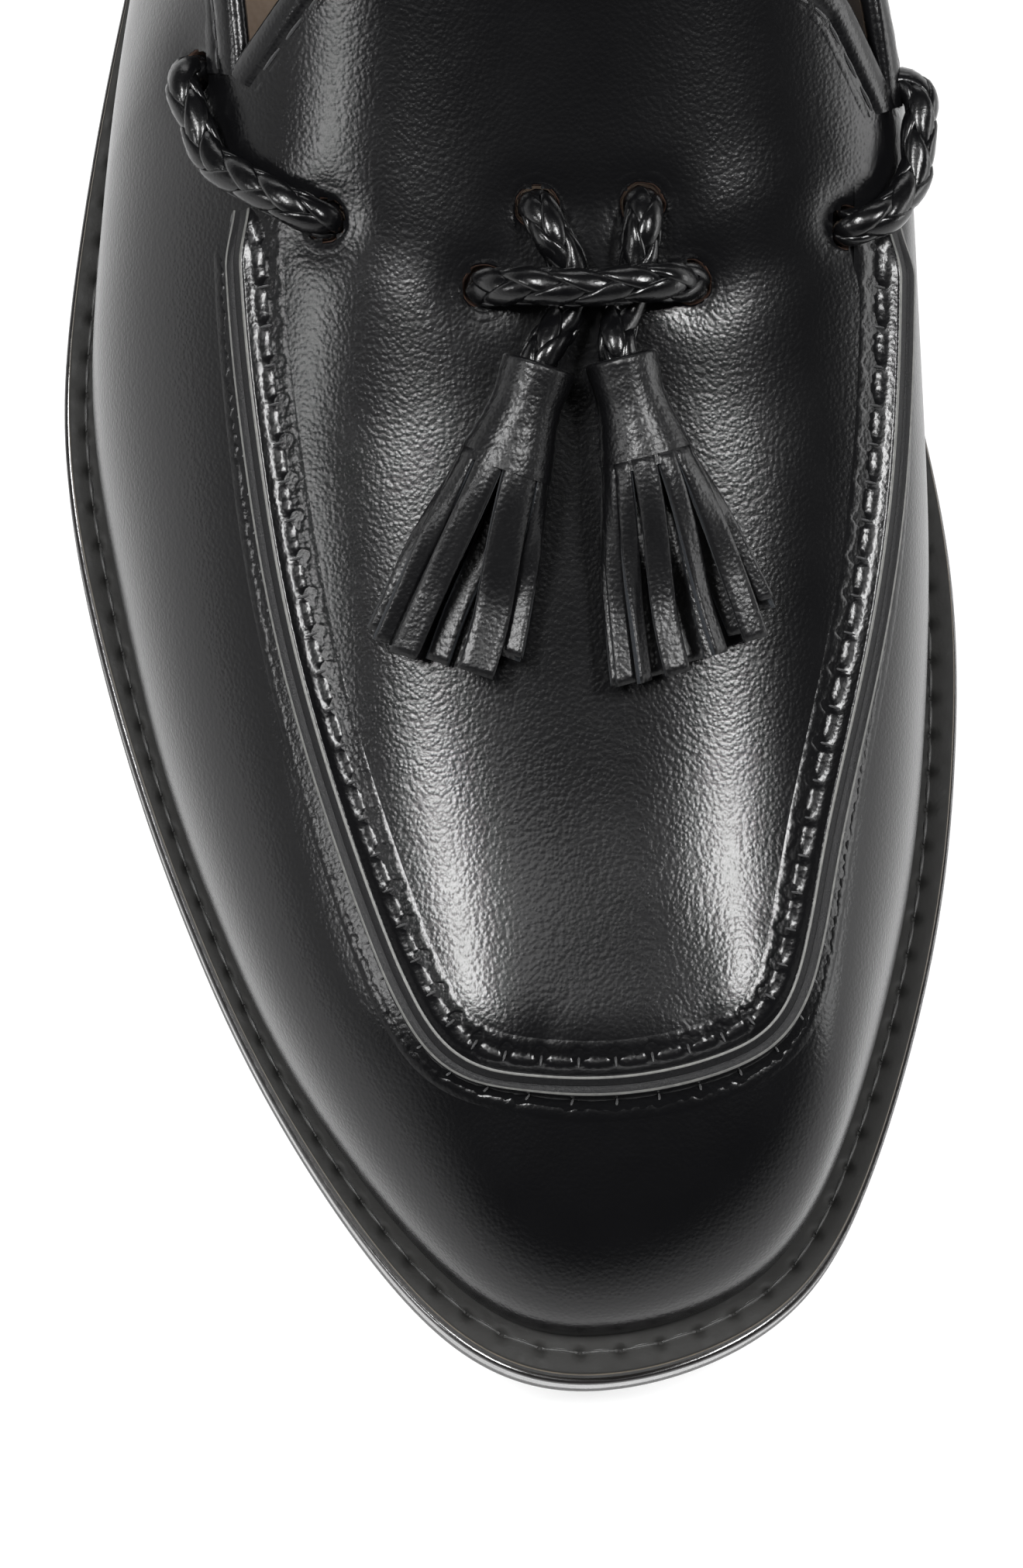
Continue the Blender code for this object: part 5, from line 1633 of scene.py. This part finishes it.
def make_welt(materials):
    """The welt, with an awl hole at each stitch, and a bare trimmed line at its edge."""
    _, lengths = rows_by_length(stitch_line, 0, ROWS, WELT_PITCH)
    rows, _ = rows_by_length(stitch_line, 0, ROWS, lengths[-1] / (len(lengths) - 1) / WELT_STEPS)
    section = [WeltPoint(None, 0.0, 0.0, 0), *WELT_SECTION, WeltPoint(None, -WELT / MM, 0.0, 0)]
    lines = []
    for number, row in enumerate(rows[:-1]):
        width = welt_width(row)
        level = welt_top(outline_point(row, width)[1])
        drawn = drawn_in(number * WELT_PITCH / WELT_STEPS, WELT_PITCH, WELT_HOLE)
        points = []
        for point in section:
            out = -WELT_UNDER_UPPER if point.share is None else point.share * width
            x, y = outline_point(row, out)
            points.append((x, y, level + (point.height - point.hole * drawn) * MM))
        lines.append(points)
    slots = np.array([point.slot for point in section])
    make_piece("welt_strip", [Patch(np.array(lines), slots[None, :], around=True, along=True)],
               [materials["welt"], materials["trim"]], ["welt"])

    stitches = []
    marks = rows[::WELT_STEPS]
    for here, ahead in zip(marks, marks[1:]):
        ends = []
        for row in inset(here, ahead, WELT_STITCH):
            x, y = stitch_line(row)
            level = welt_top(outline_point(row, welt_width(row))[1])
            ends.append(np.array((x, y, level - WELT_STITCH_SUNK)))
        stitches.append(stitch_patch(*ends, UP, WELT_STITCH))
    make_piece("welt_threads", stitches, [materials["welt_thread"]])


def make_sole(materials):
    """The outsole with its ironed edge, closed above and below between its two sides."""
    lines = []
    for k in range(ROWS * STEPS):
        row = k / STEPS
        edge, side = sole_edge(row), outward(row)
        points = []
        for point in SOLE_SECTION:
            x, y = edge + side * point.out * MM
            points.append((x, y, ground_clearance(edge[1]) + point.height * MM))
        lines.append(points)
    rim = np.array(lines)
    patches = [Patch(rim, 0, along=True)]
    half = ROWS * STEPS // 2
    shares = np.linspace(0.0, 1.0, SOLE_ACROSS + 1)[None, :, None]
    for column in (0, -1):
        left = rim[:half + 1, column]
        right = rim[-np.arange(half + 1), column]
        patches.append(Patch(left[:, None] * (1 - shares) + right[:, None] * shares, 1))
    for patch in patches[1:]:
        height = patch.points[:, :, 1]
        patch.points[:, 1:-1, 2] += (ground_clearance(height) - ground_clearance(
            height[:, :1]))[:, 1:-1]
    make_piece("sole_leather", patches, [materials["wax"], materials["bottom"]],
               ["outsole"], welded=WELD)


def row_at(y, start, end):
    """The row between start and end where the sole's edge reaches y."""
    for _ in range(BISECTIONS):
        middle = (start + end) / 2
        if sole_edge(middle)[1] > y:
            start = middle
        else:
            end = middle
    return start


def heel_loop(extra, breast):
    """The heel's outline, set in by extra: round the back, then along the hollow breast."""
    def edge(row):
        return sole_edge(row) - outward(row) * (WELT_SETBACK + extra)
    near, far = BREAST_ROWS
    ends = (row_at(breast, near, far), row_at(breast, -near, -far))
    points = [edge(row) for row in np.linspace(*ends, HEEL_STATIONS)]
    start, end = points[-1], points[0]
    for share in np.linspace(0.0, 1.0, BREAST_STATIONS)[1:-1]:
        point = start + (end - start) * share
        points.append(point + np.array((0.0, BREAST_HOLLOW * 4 * share * (1 - share))))
    return np.array(points)


def heel_rings(levels, breast):
    """Rings of the heel at heights with grooves, each (height, groove)."""
    rings = []
    for height, groove in levels:
        share = height / HEEL_HEIGHT
        plan = heel_loop(HEEL_TAPER * (1 - share) + groove, breast + BREAST_SLANT * (1 - share))
        rings.append(np.column_stack([plan, np.full(len(plan), height)]))
    return np.array(rings)


def make_heel(materials):
    """Leather lifts with a fine line between each two, and the rubber top piece."""
    breast = sole_edge(0)[1] - HEEL_LENGTH
    edges = np.linspace(TOP_PIECE + GAP, HEEL_HEIGHT - GAP, LIFTS + 1)
    levels = []
    for bottom, top in zip(edges, edges[1:]):
        levels += [(bottom, LIFT_GROOVE), (bottom + LIFT_ROUND, 0.0), (bottom + LIFT_FLAT, 0.0),
                   (top - LIFT_FLAT, 0.0), (top - LIFT_ROUND, 0.0)]
    levels.append((edges[-1], LIFT_GROOVE))
    stack = heel_rings(levels, breast)
    make_piece("heel_lifts", [Patch(stack, 0, around=True)], [materials["wax"]],
               ["heel_stack"], caps=True)
    levels = [(0.0, TOP_BEVEL), (TOP_BEVEL, 0.0), (TOP_PIECE - TOP_BEVEL / 2, 0.0),
              (TOP_PIECE, TOP_BEVEL / 2)]
    piece = heel_rings(levels, breast)
    make_piece("heel_top", [Patch(piece, 0, around=True)], [materials["rubber"]],
               ["heel_top_piece"], caps=True)


def main():
    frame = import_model()
    materials = {name: make_material(finish) for name, finish in FINISHES.items()}
    make_camera()
    make_tassels(materials)
    make_plaits(materials)
    skin = make_upper(materials)
    make_hole_rims(skin, materials)
    make_apron_seam(materials)
    make_seam_threads(materials)
    make_bindings(materials)
    make_back_strap(materials)
    make_welt(materials)
    make_sole(materials)
    make_heel(materials)
    insole = frame["nodes"]["insole"]
    insole.data.materials.clear()
    insole.data.materials.append(materials["insole"])
    make_floor()
    make_lights()
    make_sky()


main()
